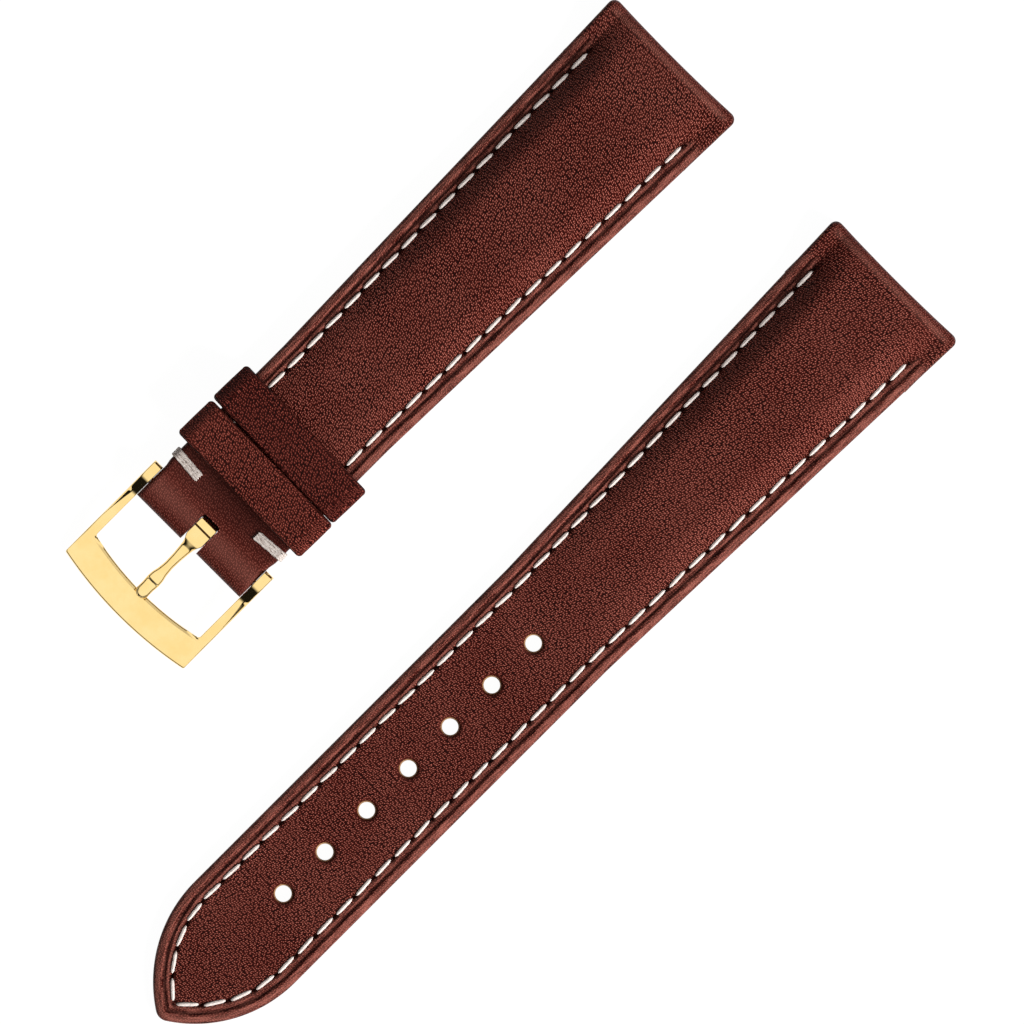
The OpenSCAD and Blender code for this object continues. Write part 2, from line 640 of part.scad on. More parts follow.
module fixed_keeper_lining() { color("#8a5a40") at_fixed_keeper() keeper_lining(); }
module free_keeper() { color("#6b3529") at_free_keeper() keeper_leather(); }
module free_keeper_lining() { color("#8a5a40") at_free_keeper() keeper_lining(); }

// The buckle and its tongue are drawn about the spring bar's axis
boss_back = 0.4;
arm_top = 0.42;
arm_under = 1.15;
arm_neck = 1.1;
arm_round = 0.5;
bar_top = 0.6;
bar_under = 1.95;
bar_foot = 0.5;
bar_edge_r = 0.3;
bar_out = bar_in + bar_w;
// The pin holes leave a web at the outside of each arm
pin_web = 0.315;
pin_hole_depth = (buckle_outer_w - buckle_inner_w) / 2 - pin_web;
// Radius of an arc that bows out by bow across half the width half
function bow_r(half, bow) = (half * half + bow * bow) / (2 * bow);

// The frame from the side: the bosses, the arms and the room for the front bar
module frame_side() {
    knee_x = bar_in + bar_edge_r;
    under_x = bar_in - bar_edge_r;
    far_x = bar_in + 2 * bar_w;
    fall = (axis_z - bar_under) / (bar_out - bar_foot - under_x);
    translate([boss_back, 0]) circle(r = boss_r);
    polygon([[0, arm_top], [-arm_neck, arm_top], [-knee_x, -bar_top], [-knee_x, arm_top],
        [-far_x, arm_top], [-far_x, -bar_under - fall * (far_x - under_x)], [-under_x, -bar_under],
        [-arm_neck, -arm_under], [0, -arm_under]]);
}

// What bounds the front bar: a bowed outside, and a top that slopes down to it
module bar_bounds() {
    r = bow_r(buckle_outer_w / 2, bar_bow);
    out_z = -bar_top - bar_w * tan(bar_tilt);
    translate([r - bar_out - bar_bow, 0, 0]) rotate_extrude($fn = 96) polygon([[0, -axis_z],
        [r - bar_edge_r, -axis_z], [r, -axis_z + bar_edge_r], [r, out_z - bar_edge_r],
        [r - bar_edge_r, out_z + bar_edge_r * tan(bar_tilt)], [0, out_z + r * tan(bar_tilt)]]);
}

// The opening between the arms, bowed along the front bar
module window() {
    r = bow_r(buckle_inner_w / 2, bar_bow);
    open_x = boss_back + boss_r + over;
    intersection() {
        translate([r - bar_in - bar_bow, 0]) circle(r = r, $fn = 96);
        translate([-bar_out, -buckle_inner_w / 2]) square([bar_out + open_x, buckle_inner_w]);
    }
}

module buckle_frame() {
    color("#d8b464") translate([axis_x, head_y, axis_z]) difference() {
        intersection() {
            rotate([90, 0, 0]) linear_extrude(buckle_outer_w + over, center = true) frame_side();
            bar_bounds();
            translate([0, 0, (boss_r - axis_z) / 2]) rotate([90, 0, 90])
                linear_extrude(4 * bar_out, center = true)
                round_rect(buckle_outer_w, axis_z + boss_r + bar_edge_r, arm_round);
        }
        linear_extrude(4 * axis_z, center = true) window();
        rotate([90, 0, 0]) cylinder(h = buckle_inner_w + 2 * pin_hole_depth,
            r = tip_r + running, center = true, $fn = 32);
    }
}

// The tongue: a collar rolled round the barrel, with its shaft in one piece with it
tongue_tip_r = 0.87;
tongue_waist = 0.64;
tongue_neck = 0.79;
tongue_rest = 0.1;
tongue_slit = 0.25;
tongue_t = 1.1;
// Rounding of the collar's back corners
collar_round = 0.5;
// Half its outline in plan: the collar, in shares of the collar's radius and width, and the shaft,
// in shares of the tongue's length
collar_plan_shares = [[1, 0.5], [1.5, 0.41]];
shaft_waist_share = 0.53;
shaft_flare_share = 0.72;
module tongue_plan() {
    neck_x = collar_r + collar_w / 2;
    half = concat([[collar_r - collar_round, collar_w / 2]],
        [for (s = collar_plan_shares) [-s[0] * collar_r, s[1] * collar_w]],
        [[-neck_x, tongue_neck], [-shaft_waist_share * tongue_len, tongue_waist],
        [-shaft_flare_share * tongue_len, tongue_neck], [-tongue_len + tongue_tip_r, tongue_tip_r]]);
    polygon(concat(half, [for (i = [len(half) - 1:-1:0]) [half[i].x, -half[i].y]]));
    translate([-tongue_len + tongue_tip_r, 0]) circle(r = tongue_tip_r);
    translate([0, collar_round - collar_w / 2]) square([collar_r, collar_w - 2 * collar_round]);
    for (y = [-1, 1]) translate([collar_r - collar_round, y * (collar_w / 2 - collar_round)])
        circle(r = collar_round);
}
// Its outline from the side: over the collar, in shares of the collar's radius, along the shaft,
// in shares of the tongue's length and thickness, and back under the collar
collar_top_shares = [[0, 1], [1, 0.9]];
shaft_fall_shares = [0.28, 0.78];
shaft_end_shares = [[0.76, 1.12], [0.92, 0.95], [0.98, 0.7], [1, 0.35], [0.985, 0.1], [0.95, 0],
    [0.8, 0]];
shaft_under_shares = [0.3, -0.2];
collar_under_shares = [[0.95, -0.55], [0, -0.8]];
module tongue_side() {
    rest_z = -bar_top + tongue_rest;
    circle(r = collar_r);
    polygon(concat([for (s = collar_top_shares) [-s[0] * collar_r, s[1] * collar_r]],
        [[-shaft_fall_shares[0] * tongue_len, shaft_fall_shares[1] * collar_r]],
        [for (s = shaft_end_shares) [-s[0] * tongue_len, rest_z + s[1] * tongue_t]],
        [[-shaft_under_shares[0] * tongue_len, shaft_under_shares[1] * collar_r]],
        [for (s = collar_under_shares) [-s[0] * collar_r, s[1] * collar_r]]));
}
module buckle_tongue() {
    color("#d8b464") translate([axis_x, head_y, axis_z]) difference() {
        intersection() {
            rotate([90, 0, 0]) linear_extrude(collar_w + over, center = true) tongue_side();
            translate([0, 0, -axis_z]) linear_extrude(2 * axis_z) tongue_plan();
        }
        rotate([90, 0, 0]) cylinder(h = collar_w + over, r = barrel_r + running, center = true);
        translate([-tongue_slit / 2, -collar_w, 0]) cube([tongue_slit, 2 * collar_w, collar_r + over]);
    }
}

// Spring bar: a barrel with a sprung plunger at each end
bore_r = 0.55;
piston_r = 0.5;
flange_r = 0.7;
flange_t = 0.25;
flange_gap = 0.1;
piston_in = 1.75;
flange_y = buckle_inner_w / 2 - flange_gap - flange_t;
// The barrel leaves both plungers their travel
barrel_end_gap = 0.035;
barrel_len = 2 * (flange_y - plunger_travel - barrel_end_gap);
module spring_bar_barrel() {
    color("#c9c9c9") translate([axis_x, head_y, axis_z]) rotate([90, 0, 0]) difference() {
        cylinder(h = barrel_len, r = barrel_r, center = true);
        cylinder(h = barrel_len + over, r = bore_r, center = true);
    }
}
module plunger() {
    tip_len = flange_gap + pin_hole_depth - running;
    rotate([-90, 0, 0]) rotate_extrude() polygon([[0, barrel_len / 2 - piston_in],
        [piston_r, barrel_len / 2 - piston_in], [piston_r, flange_y], [flange_r, flange_y],
        [flange_r, flange_y + flange_t], [tip_r, flange_y + flange_t],
        [tip_r, flange_y + flange_t + tip_len - tip_r / 2],
        [tip_r / 2, flange_y + flange_t + tip_len], [0, flange_y + flange_t + tip_len]]);
}
module spring_bar_plunger_left() {
    color("#c9c9c9") translate([axis_x, head_y, axis_z]) plunger();
}
module spring_bar_plunger_right() {
    color("#c9c9c9") translate([axis_x, head_y, axis_z]) mirror([0, 1, 0]) plunger();
}

// The coil spring between the plungers, as one wire along a helix
coil_r = 0.38;
wire_r = 0.11;
coil_turns = 11;
coil_sides = 6;
coil_rings = 8;
coil_run = barrel_len - 2 * piston_in - 2 * (wire_r + running);
function coil_point(t) = [coil_r * cos(360 * t), -coil_run / 2 + coil_run * t / coil_turns,
    coil_r * sin(360 * t)];
function coil_ring(t) =
    let (out = [cos(360 * t), 0, sin(360 * t)],
        along = [-2 * PI * coil_r * sin(360 * t), coil_run / coil_turns, 2 * PI * coil_r * cos(360 * t)],
        up = cross(along / norm(along), out))
    [for (k = [0:coil_sides - 1]) coil_point(t)
        + wire_r * (cos(360 * k / coil_sides) * out + sin(360 * k / coil_sides) * up)];
module spring_bar_spring() {
    n = coil_turns * coil_rings;
    rings = [for (i = [0:n]) coil_ring(i / coil_rings)];
    pts = concat([for (r = rings) each r], [coil_point(0), coil_point(coil_turns)]);
    m = coil_sides;
    faces = concat(
        [for (i = [0:n - 1], k = [0:m - 1]) each [
            [i * m + k, (i + 1) * m + k, (i + 1) * m + (k + 1) % m],
            [i * m + k, (i + 1) * m + (k + 1) % m, i * m + (k + 1) % m]]],
        [for (k = [0:m - 1]) [len(pts) - 2, k, (k + 1) % m]],
        [for (k = [0:m - 1]) [len(pts) - 1, n * m + (k + 1) % m, n * m + k]]);
    color("#bfbfbf") translate([axis_x, head_y, axis_z]) polyhedron(pts, faces, convexity = 10);
}

tail_face_leather();
tail_padding();
tail_stiffener();
tail_lining();
tail_lug_loop();
tail_face_thread();
tail_lining_thread();
head_face_leather();
head_padding();
head_stiffener();
head_lining();
head_lug_loop();
head_face_thread();
head_lining_thread();
bar_tack_left();
bar_tack_right();
fixed_keeper();
fixed_keeper_lining();
free_keeper();
free_keeper_lining();
buckle_frame();
buckle_tongue();
spring_bar_barrel();
spring_bar_spring();
spring_bar_plunger_left();
spring_bar_plunger_right();
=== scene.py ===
"""A leather watch strap in two halves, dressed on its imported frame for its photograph.

Sizes are in millimetres and meshes are made in metres. X runs along the strap to the lug ends, Y
across it, and the underside of the tail half is at Z = 0.
"""

import json
import logging
import math
from dataclasses import dataclass
from enum import Enum, IntEnum

import bmesh
import bpy
import numpy as np
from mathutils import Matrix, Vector

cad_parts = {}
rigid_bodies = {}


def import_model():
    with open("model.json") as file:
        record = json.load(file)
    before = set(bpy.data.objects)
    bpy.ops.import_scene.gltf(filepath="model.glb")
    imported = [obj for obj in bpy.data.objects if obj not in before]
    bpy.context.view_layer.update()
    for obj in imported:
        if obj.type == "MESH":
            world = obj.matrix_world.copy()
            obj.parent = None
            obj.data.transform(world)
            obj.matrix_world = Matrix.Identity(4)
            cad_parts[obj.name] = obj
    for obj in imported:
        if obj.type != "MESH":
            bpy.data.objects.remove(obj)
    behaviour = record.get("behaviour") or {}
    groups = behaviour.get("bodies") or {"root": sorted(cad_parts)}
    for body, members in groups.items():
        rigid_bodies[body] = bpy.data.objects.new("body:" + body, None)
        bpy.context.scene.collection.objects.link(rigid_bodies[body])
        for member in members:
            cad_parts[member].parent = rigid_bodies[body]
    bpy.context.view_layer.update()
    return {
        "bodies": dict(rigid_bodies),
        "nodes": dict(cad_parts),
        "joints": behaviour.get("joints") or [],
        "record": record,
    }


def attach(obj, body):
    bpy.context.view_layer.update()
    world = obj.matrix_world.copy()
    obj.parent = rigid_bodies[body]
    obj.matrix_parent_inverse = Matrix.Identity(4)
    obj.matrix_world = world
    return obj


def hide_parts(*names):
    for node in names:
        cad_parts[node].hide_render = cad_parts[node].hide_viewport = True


MM = 0.001
LOG = logging.getLogger("watch_strap")

Array = np.ndarray
Socket = bpy.types.NodeSocket
Thing = bpy.types.Object
Finish = bpy.types.Material


class Which(Enum):
    """The two halves of the strap."""

    TAIL = "tail"
    HEAD = "head"


class RowKind(IntEnum):
    """Where a row across a half runs."""

    NOSE = 0
    SIDE = 1
    ACROSS = 2
    WALL = 3
    LOWER = 4


# ---- sums on arrays ----


def clamp01(t: Array) -> Array:
    """Values held between 0 and 1."""
    return np.clip(t, 0.0, 1.0)


def smooth(t: Array) -> Array:
    """A soft step from 0 to 1."""
    c = clamp01(t)
    return c * c * (3 - 2 * c)


def bump(d: Array, at: float, half: float) -> Array:
    """A round swelling of height 1 at a place, half wide to each side."""
    near = np.abs(d - at) < half
    return np.where(near, (1 + np.cos(np.pi * (d - at) / half)) / 2, 0.0)


def drop(r: float, u: Array) -> Array:
    """How far a round edge of radius r has fallen at a distance u in from it."""
    inside = np.clip(u, 0.0, r)
    return r - np.sqrt(np.maximum(r * r - (r - inside) ** 2, 0.0))


def run_of(path: Array) -> Array:
    """Length along a line of points, at each of them."""
    return np.concatenate([[0.0], np.cumsum(np.linalg.norm(np.diff(path, axis=0), axis=1))])


def round_of(angle: Array) -> Array:
    """Points on a circle of radius 1 at angles in radians."""
    return np.stack([np.cos(angle), np.sin(angle)], -1)


def bridge(a: Array, b: Array, shares: list[float]) -> Array:
    """Points at shares of the way from one line of points to another."""
    return a[:, None, :] + (b - a)[:, None, :] * np.array(shares)[None, :, None]


def both_sides(side: Array, flip_y: bool = True) -> Array:
    """A whole row from its +Y side: the side, the middle and the side mirrored."""
    back = side[:, -2::-1].copy()
    if flip_y:
        back[..., 1] *= -1
    return np.concatenate([side, back], 1)


def ripple(x: Array, y: Array, pitch: float) -> Array:
    """A slow irregular unevenness of about plus and minus 1, the same at each run."""
    k = 2 * math.pi / pitch
    return (
        np.sin(k * x + 1.3 * np.sin(0.61 * k * y + 0.4))
        + np.sin(0.73 * k * y - 1.1 + 0.9 * np.sin(0.47 * k * x))
        + 0.5 * np.sin(1.37 * k * (x + 0.6 * y) + 2.0)
    ) / 2.5


# ---- a mesh in the making ----


class Skin:
    """The points, faces and point values of one mesh while it is put together, in millimetres."""

    def __init__(self) -> None:
        """Starts with nothing."""
        self.points: list[Array] = []
        self.values: dict[str, list[Array]] = {}
        self.count = 0
        self.faces: list[tuple[int, ...]] = []
        self.kinds: list[int] = []

    def add(self, xyz: Array, **values: Array | float) -> Array:
        """Adds points.

        Args:
            xyz: Points, in any shape that ends in 3.
            **values: One value a point, or one for all, under each name.

        Returns:
            The points' numbers, in the same shape.
        """
        shape = xyz.shape[:-1]
        n = int(np.prod(shape))
        ids = np.arange(self.count, self.count + n).reshape(shape)
        self.points.append(np.asarray(xyz, float).reshape(-1, 3))
        for name in {**self.values, **values}:
            if name not in self.values:
                self.values[name] = [np.zeros(self.count)]
            given = np.broadcast_to(np.asarray(values.get(name, 0.0), float), shape)
            self.values[name].append(given.reshape(-1))
        self.count += n
        return ids

    def face(self, ids: tuple[int, ...], kind: int = 0) -> None:
        """Adds one face of a finish."""
        self.faces.append(ids)
        self.kinds.append(kind)

    def grid(self, ids: Array, kind: int = 0, skip: Array | None = None) -> None:
        """Fills a grid of points with four-sided faces.

        Args:
            ids: Point numbers, rows by columns.
            kind: Which of the piece's finishes it takes.
            skip: True for each face that is left out.
        """
        a, b, c, d = ids[:-1, :-1], ids[:-1, 1:], ids[1:, 1:], ids[1:, :-1]
        quads = np.stack([a, b, c, d], -1)
        keep = np.ones(a.shape, bool) if skip is None else ~skip
        rows = [tuple(q) for q in quads[keep].tolist()]
        self.faces.extend(rows)
        self.kinds.extend([kind] * len(rows))

    def band(self, a: Array, b: Array, kind: int = 0) -> None:
        """A closed band of faces between two rings of the same count."""
        self.grid(np.stack([np.append(a, a[0]), np.append(b, b[0])]), kind)

    def zip(self, a: Array, b: Array, kind: int = 0) -> None:
        """Joins two open lines of points of different counts with a strip of faces."""
        pts = np.vstack(self.points)
        lengths = []
        for line in (a, b):
            run = run_of(pts[line])
            lengths.append(run / max(run[-1], 1e-9))
        i = j = 0
        while i < len(a) - 1 or j < len(b) - 1:
            ahead = j == len(b) - 1 or (i < len(a) - 1 and lengths[0][i + 1] <= lengths[1][j + 1])
            if ahead:
                self.face((int(a[i]), int(a[i + 1]), int(b[j])), kind)
                i += 1
            else:
                self.face((int(a[i]), int(b[j + 1]), int(b[j])), kind)
                j += 1

    def mesh(self, name: str, finishes: list[Finish]) -> bpy.types.Mesh:
        """Makes a closed mesh with its faces outwards.

        Args:
            name: The mesh's name.
            finishes: The materials that the faces' kinds count through.

        Returns:
            The mesh, in metres.
        """
        mesh = bpy.data.meshes.new(name)
        mesh.from_pydata((np.vstack(self.points) * MM).tolist(), [], self.faces)
        for key, parts in self.values.items():
            layer = mesh.attributes.new(key, "FLOAT", "POINT")
            layer.data.foreach_set("value", np.concatenate(parts).astype(np.float32))
        mesh.polygons.foreach_set("material_index", self.kinds)
        close_up(mesh)
        for finish in finishes:
            mesh.materials.append(finish)
        return mesh


def close_up(mesh: bpy.types.Mesh, sharp: float = 40.0) -> None:
    """Merges doubled points, turns the faces outwards and shades them smooth.

    Args:
        mesh: The mesh to mend, in metres.
        sharp: Angle in degrees from which an edge stays sharp.
    """
    bm = bmesh.new()
    bm.from_mesh(mesh)
    bmesh.ops.remove_doubles(bm, verts=bm.verts, dist=2e-7)
    bmesh.ops.dissolve_degenerate(bm, edges=bm.edges, dist=1e-8)
    bmesh.ops.recalc_face_normals(bm, faces=bm.faces)
    for face in bm.faces:
        face.smooth = True
    for edge in bm.edges:
        edge.smooth = not (edge.is_manifold and edge.calc_face_angle(0.0) > math.radians(sharp))
    bm.to_mesh(mesh)
    bm.free()
    mesh.update()


def piece(name: str, data: bpy.types.ID) -> Thing:
    """An object at the origin for a finished mesh, a lamp or a camera."""
    obj = bpy.data.objects.new(name, data)
    bpy.context.scene.collection.objects.link(obj)
    return obj


def blank(name: str) -> Thing:
    """An object with an empty mesh, for nodes that make all that they need."""
    return piece(name, bpy.data.meshes.new(name))


def plain(obj: Thing, name: str) -> Thing:
    """Turns an object with modifiers into a plain mesh piece and removes the old one.

    Args:
        obj: The object, whose modifiers are live.
        name: The new piece's name.

    Returns:
        The new piece, at the origin, with no modifiers.
    """
    view = bpy.context.view_layer
    view.update()
    graph = bpy.context.evaluated_depsgraph_get()
    live = obj.evaluated_get(graph)
    mesh = bpy.data.meshes.new_from_object(live, preserve_all_data_layers=True, depsgraph=graph)
    mesh.name = name
    obj.modifiers.clear()
    bpy.data.objects.remove(obj)
    return piece(name, mesh)


def carve(obj: Thing, cutters: list[Thing]) -> Thing:
    """Cuts closed shapes out of a closed piece.

    Args:
        obj: The piece to cut.
        cutters: What to cut away. They are removed afterwards.

    Returns:
        The cut piece, as a plain mesh.
    """
    name = obj.name
    for cutter in cutters:
        cut = obj.modifiers.new(cutter.name, "BOOLEAN")
        cut.operation, cut.solver, cut.object = "DIFFERENCE", "EXACT", cutter
    obj.name = name + "_raw"
    done = plain(obj, name)
    for cutter in cutters:
        bpy.data.objects.remove(cutter)
    close_up(done.data, 35.0)
    return done


def circle(centre: tuple[float, float], r: float, count: int = 64) -> Array:
    """The corners of a round outline."""
    return np.array(centre) + r * round_of(np.linspace(0, 2 * np.pi, count + 1)[:-1])


def prism(name: str, loop: Array, low: float, high: float, upright: bool = False) -> Thing:
    """A straight closed body, such as one to cut a bore or a slot with.

    Args:
        name: The object's name.
        loop: Its outline in X and Z, or in X and Y if it stands upright.
        low: Where it starts, along Y or up Z.
        high: Where it ends.
        upright: True for one that runs up Z.

    Returns:
        The object.
    """
    skin = Skin()
    ends = []
    for place in (low, high):
        rest = np.full(len(loop), place)
        order = (loop[:, 0], loop[:, 1], rest) if upright else (loop[:, 0], rest, loop[:, 1])
        ends.append(skin.add(np.column_stack(order)))
        skin.face(tuple(int(i) for i in ends[-1]))
    skin.band(ends[0], ends[1])
    return piece(name, skin.mesh(name, []))


# ---- finishes ----


def colour(r: int, g: int, b: int) -> tuple[float, float, float, float]:
    """A colour as seen on screen, 0 to 255, as Blender's linear one."""
    def line(v: int) -> float:
        """One channel."""
        s = v / 255
        return s / 12.92 if s <= 0.04045 else ((s + 0.055) / 1.055) ** 2.4

    return (line(r), line(g), line(b), 1.0)


class Nodes:
    """A node tree while it is put together."""

    def __init__(self, tree: bpy.types.NodeTree) -> None:
        """Keeps the tree."""
        self.tree = tree

    def put(self, socket: Socket, value: object) -> None:
        """Links a socket to another, or gives it a value."""
        if isinstance(value, Socket):
            self.tree.links.new(value, socket)
        else:
            socket.default_value = value

    def node(self, kind: str, given: tuple | dict = (), **settings: object) -> bpy.types.Node:
        """Adds a node.

        Args:
            kind: Blender's name for it.
            given: Links or values of its inputs, in order or under their names or numbers.
            **settings: Its properties.

        Returns:
            The node.
        """
        made = self.tree.nodes.new(kind)
        for key, value in settings.items():
            setattr(made, key, value)
        for key, value in given.items() if isinstance(given, dict) else enumerate(given):
            self.put(made.inputs[key], value)
        return made

    def sum(self, kind: str, a: object, b: object = 0.0) -> Socket:
        """A sum on two numbers."""
        return self.node("ShaderNodeMath", (a, b), operation=kind).outputs[0]

    def times(self, a: object, b: object) -> Socket:
        """The product of two numbers."""
        return self.sum("MULTIPLY", a, b)

    def span(self, value: object, low: float, high: float,
             to_low: float = 0.0, to_high: float = 1.0) -> Socket:
        """A value brought softly from one range to another."""
        given = (value, low, high, to_low, to_high)
        return self.node("ShaderNodeMapRange", given, interpolation_type="SMOOTHSTEP").outputs[0]


class Shade(Nodes):
    """A material's node tree while it is put together."""

    def __init__(self, name: str) -> None:
        """Starts a material with its surface shader."""
        self.material = bpy.data.materials.new(name)
        self.material.use_nodes = True
        super().__init__(self.material.node_tree)
        self.surface = self.tree.nodes["Principled BSDF"]
        self.place = self.node("ShaderNodeTexCoord").outputs["Object"]

    def scaled(self, vector: object, by: tuple[float, float, float]) -> Socket:
        """A vector stretched along each axis."""
        return self.node("ShaderNodeVectorMath", (vector, by), operation="MULTIPLY").outputs[0]

    def noise(self, vector: object, scale: float, detail: float = 2.0, rough: float = 0.5) -> Socket:
        """A noise from 0 to 1 about 0.5."""
        given = {"Vector": vector, "Scale": scale, "Detail": detail, "Roughness": rough}
        return self.node("ShaderNodeTexNoise", given).outputs["Fac"]

    def mix(self, share: object, a: object, b: object) -> Socket:
        """A mix of two colours."""
        return self.node("ShaderNodeMix", {"Factor": share, 6: a, 7: b}, data_type="RGBA").outputs[2]

    def held(self, name: str) -> Socket:
        """A value that the mesh holds at its points."""
        return self.node("ShaderNodeAttribute", attribute_name=name).outputs["Fac"]

    def lift(self, height: object, distance: float) -> None:
        """Gives the surface its fine relief, distance millimetres high."""
        given = {"Strength": 1.0, "Distance": distance * MM, "Height": height}
        self.put(self.surface.inputs["Normal"], self.node("ShaderNodeBump", given).outputs[0])

    def set(self, **values: object) -> None:
        """Gives the surface shader its values, by socket name with _ for a space."""
        for key, value in values.items():
            self.put(self.surface.inputs[key.replace("_", " ")], value)


@dataclass(frozen=True)
class GrainedLeather:
    """Smooth dyed calf leather with a fine pebble grain, with painted highlights on the pebble tops and
    painted shade in the valleys between them.
    """

    name: str
    # the second tone is painted shade for the grain's valleys, the third a painted highlight for the pebble
    # tops that also lightens mottles and streaks, and the fourth a painted highlight for ridges
    base: tuple[int, int, int] = (84, 28, 21)
    shade_tone: tuple[int, int, int] = (20, 1, 1)
    highlight_tone: tuple[int, int, int] = (232, 142, 124)
    ridge_highlight_tone: tuple[int, int, int] = (156, 100, 88)
    grain: float = 0.235
    relief: float = 0.06
    gloss: float = 0.36
    streaked: bool = False

    # how the pebbles stretch along and across, shrink with height, and lie askew
    STRETCH = (0.82, 1.18)
    FALL = (7.0, 62.0)
    HALF_Y = 17.25
    SKEW = -0.3

    def _laid(self, s: Shade, wall: Socket) -> Socket:
        """X and Y, spread outwards where the surface falls away, so that walls have their grain too."""
        x, y, z = s.node("ShaderNodeSeparateXYZ", (s.place,)).outputs
        long = s.times(x, s.sum("SUBTRACT", self.STRETCH[0], s.times(z, self.FALL[0])))
        side = s.sum("SUBTRACT", s.sum("ABSOLUTE", y), self.HALF_Y * MM)
        down = s.times(z, s.times(s.sum("ADD", wall, 1.0), self.FALL[1]))
        side = s.times(side, s.sum("SUBTRACT", self.STRETCH[1], down))
        flat = s.node("ShaderNodeCombineXYZ", (long, s.sum("ADD", side, s.times(x, self.SKEW)))).outputs[0]
        warp = s.node("ShaderNodeTexNoise", {"Vector": s.place, "Scale": 1 / (self.grain * MM * 2.5)})
        shift = (warp.outputs["Color"], (self.grain * MM * 0.7,) * 3, flat)
        return s.node("ShaderNodeVectorMath", shift, operation="MULTIPLY_ADD").outputs[0]

    def material(self) -> Finish:
        """Builds the material. It reads the dyed-edge and painted-shade value, margin, calm, the
        painted-highlight value and wall where the mesh holds them.
        """
        s = Shade(self.name)
        cell = self.grain * MM
        calm, margin, crease, wall = (s.held(key) for key in ("calm", "margin", "crease", "wall"))
        given = {"Vector": self._laid(s, wall), "Scale": 1 / cell, "Randomness": 0.6}
        cells = s.node("ShaderNodeTexVoronoi", given, feature="F1", voronoi_dimensions="2D")
        centre = cells.outputs["Distance"]
        patch = s.noise(s.place, 1 / (cell * 12), 2.0)
        small = s.noise(s.place, 1 / (cell * 0.5), 2.0, 0.6)
        strength = s.times(s.span(patch, 0.3, 0.7, 0.88, 1.06), s.sum("SUBTRACT", 1.0, calm))
        pebble = s.span(centre, 0.62, 0.08)
        grain = s.times(s.sum("ADD", pebble, s.times(small, 0.3)), strength)
        flow = s.node("ShaderNodeUVMap", uv_map="lay").outputs[0] if self.streaked else s.place
        streak = s.noise(s.scaled(flow, (420.0, 4600.0, 1.0)), 1.0, 3.0, 0.6)
        edge = s.times(margin, s.sum("SUBTRACT", 1.0, wall))
        lines = s.times(s.times(streak, edge), 0.8 if self.streaked else 0.0)
        s.lift(s.sum("ADD", grain, lines), self.relief)
        mottle = s.noise(s.place, 1 / (9 * MM), 2.0, 0.5)
        base, highlight_tone, shade_tone, ridge_highlight_tone = (colour(*tone) for tone in (self.base, self.highlight_tone, self.shade_tone, self.ridge_highlight_tone))
        skin = s.mix(s.span(mottle, 0.3, 0.7, 0.0, 0.05), base, highlight_tone)
        # painted shade darkens the valleys between the pebbles, and a painted highlight lightens the pebble
        # tops
        valley_shade = s.times(s.span(centre, 0.3, 0.66), s.times(strength, 0.95))
        top = s.times(s.span(centre, 0.27, 0.02), s.times(strength, 0.85))
        skin = s.mix(valley_shade, s.mix(top, skin, highlight_tone), shade_tone)
        if self.streaked:
            light = s.times(s.span(streak, 0.4, 0.66), s.times(edge, 0.3))
            dark = s.times(s.span(streak, 0.46, 0.3), s.times(edge, 0.5))
            # a painted highlight lightens the bead and the ridges where the mesh holds that value
            skin = s.mix(s.held("wear"), s.mix(dark, s.mix(light, skin, highlight_tone), shade_tone), ridge_highlight_tone)
        rough = s.span(small, 0.2, 0.8, self.gloss - 0.05, self.gloss + 0.1)
        # the colour darkens with the dye on the edges and with painted shade in grooves, creases, dimples,
        # hole rims and beside the keepers
        s.set(Base_Color=s.mix(crease, skin, colour(10, 3, 3)), Specular_IOR_Level=0.06)
        s.set(Roughness=s.sum("MAXIMUM", rough, s.times(wall, 0.85)))
        return s.material


@dataclass(frozen=True)
class RawLeather:
    """Undyed leather: cut edges, linings and the felt of the padding."""

    name: str
    light: tuple[int, int, int] = (190, 150, 108)
    dark: tuple[int, int, int] = (140, 98, 62)
    fibre: float = 0.12
    relief: float = 0.03

    def material(self) -> Finish:
        """Builds the material: short fibres and a dull, uneven colour."""
        s = Shade(self.name)
        fibres = s.noise(s.scaled(s.place, (1.0, 1.0, 2.4)), 1 / (self.fibre * MM), 3.0, 0.6)
        cloud = s.noise(s.place, 1 / (self.fibre * MM * 14), 2.0)
        share = s.sum("ADD", s.times(fibres, 0.7), s.times(cloud, 0.4))
        s.lift(fibres, self.relief)
        s.set(Base_Color=s.mix(s.span(share, 0.35, 0.75), colour(*self.dark), colour(*self.light)))
        s.set(Roughness=s.span(fibres, 0.2, 0.8, 0.68, 0.88), Specular_IOR_Level=0.3)
        return s.material


@dataclass(frozen=True)
class Thread:
    """Waxed sewing thread of twisted strands."""

    name: str
    light: tuple[int, int, int] = (250, 242, 237)
    dark: tuple[int, int, int] = (216, 202, 194)
    fibres: tuple[float, float, float] = (0.3, 1.0, 1.0)

    def material(self) -> Finish:
        """Builds the material: fine fibres along the thread with darker furrows."""
        s = Shade(self.name)
        fibre = s.noise(s.scaled(s.place, self.fibres), 1 / (0.11 * MM), 2.0)
        s.lift(fibre, 0.03)
        s.set(Base_Color=s.mix(s.span(fibre, 0.3, 0.6), colour(*self.dark), colour(*self.light)))
        s.set(Roughness=s.span(fibre, 0.2, 0.8, 0.55, 0.75), Sheen_Weight=0.2, Specular_IOR_Level=0.4)
        return s.material


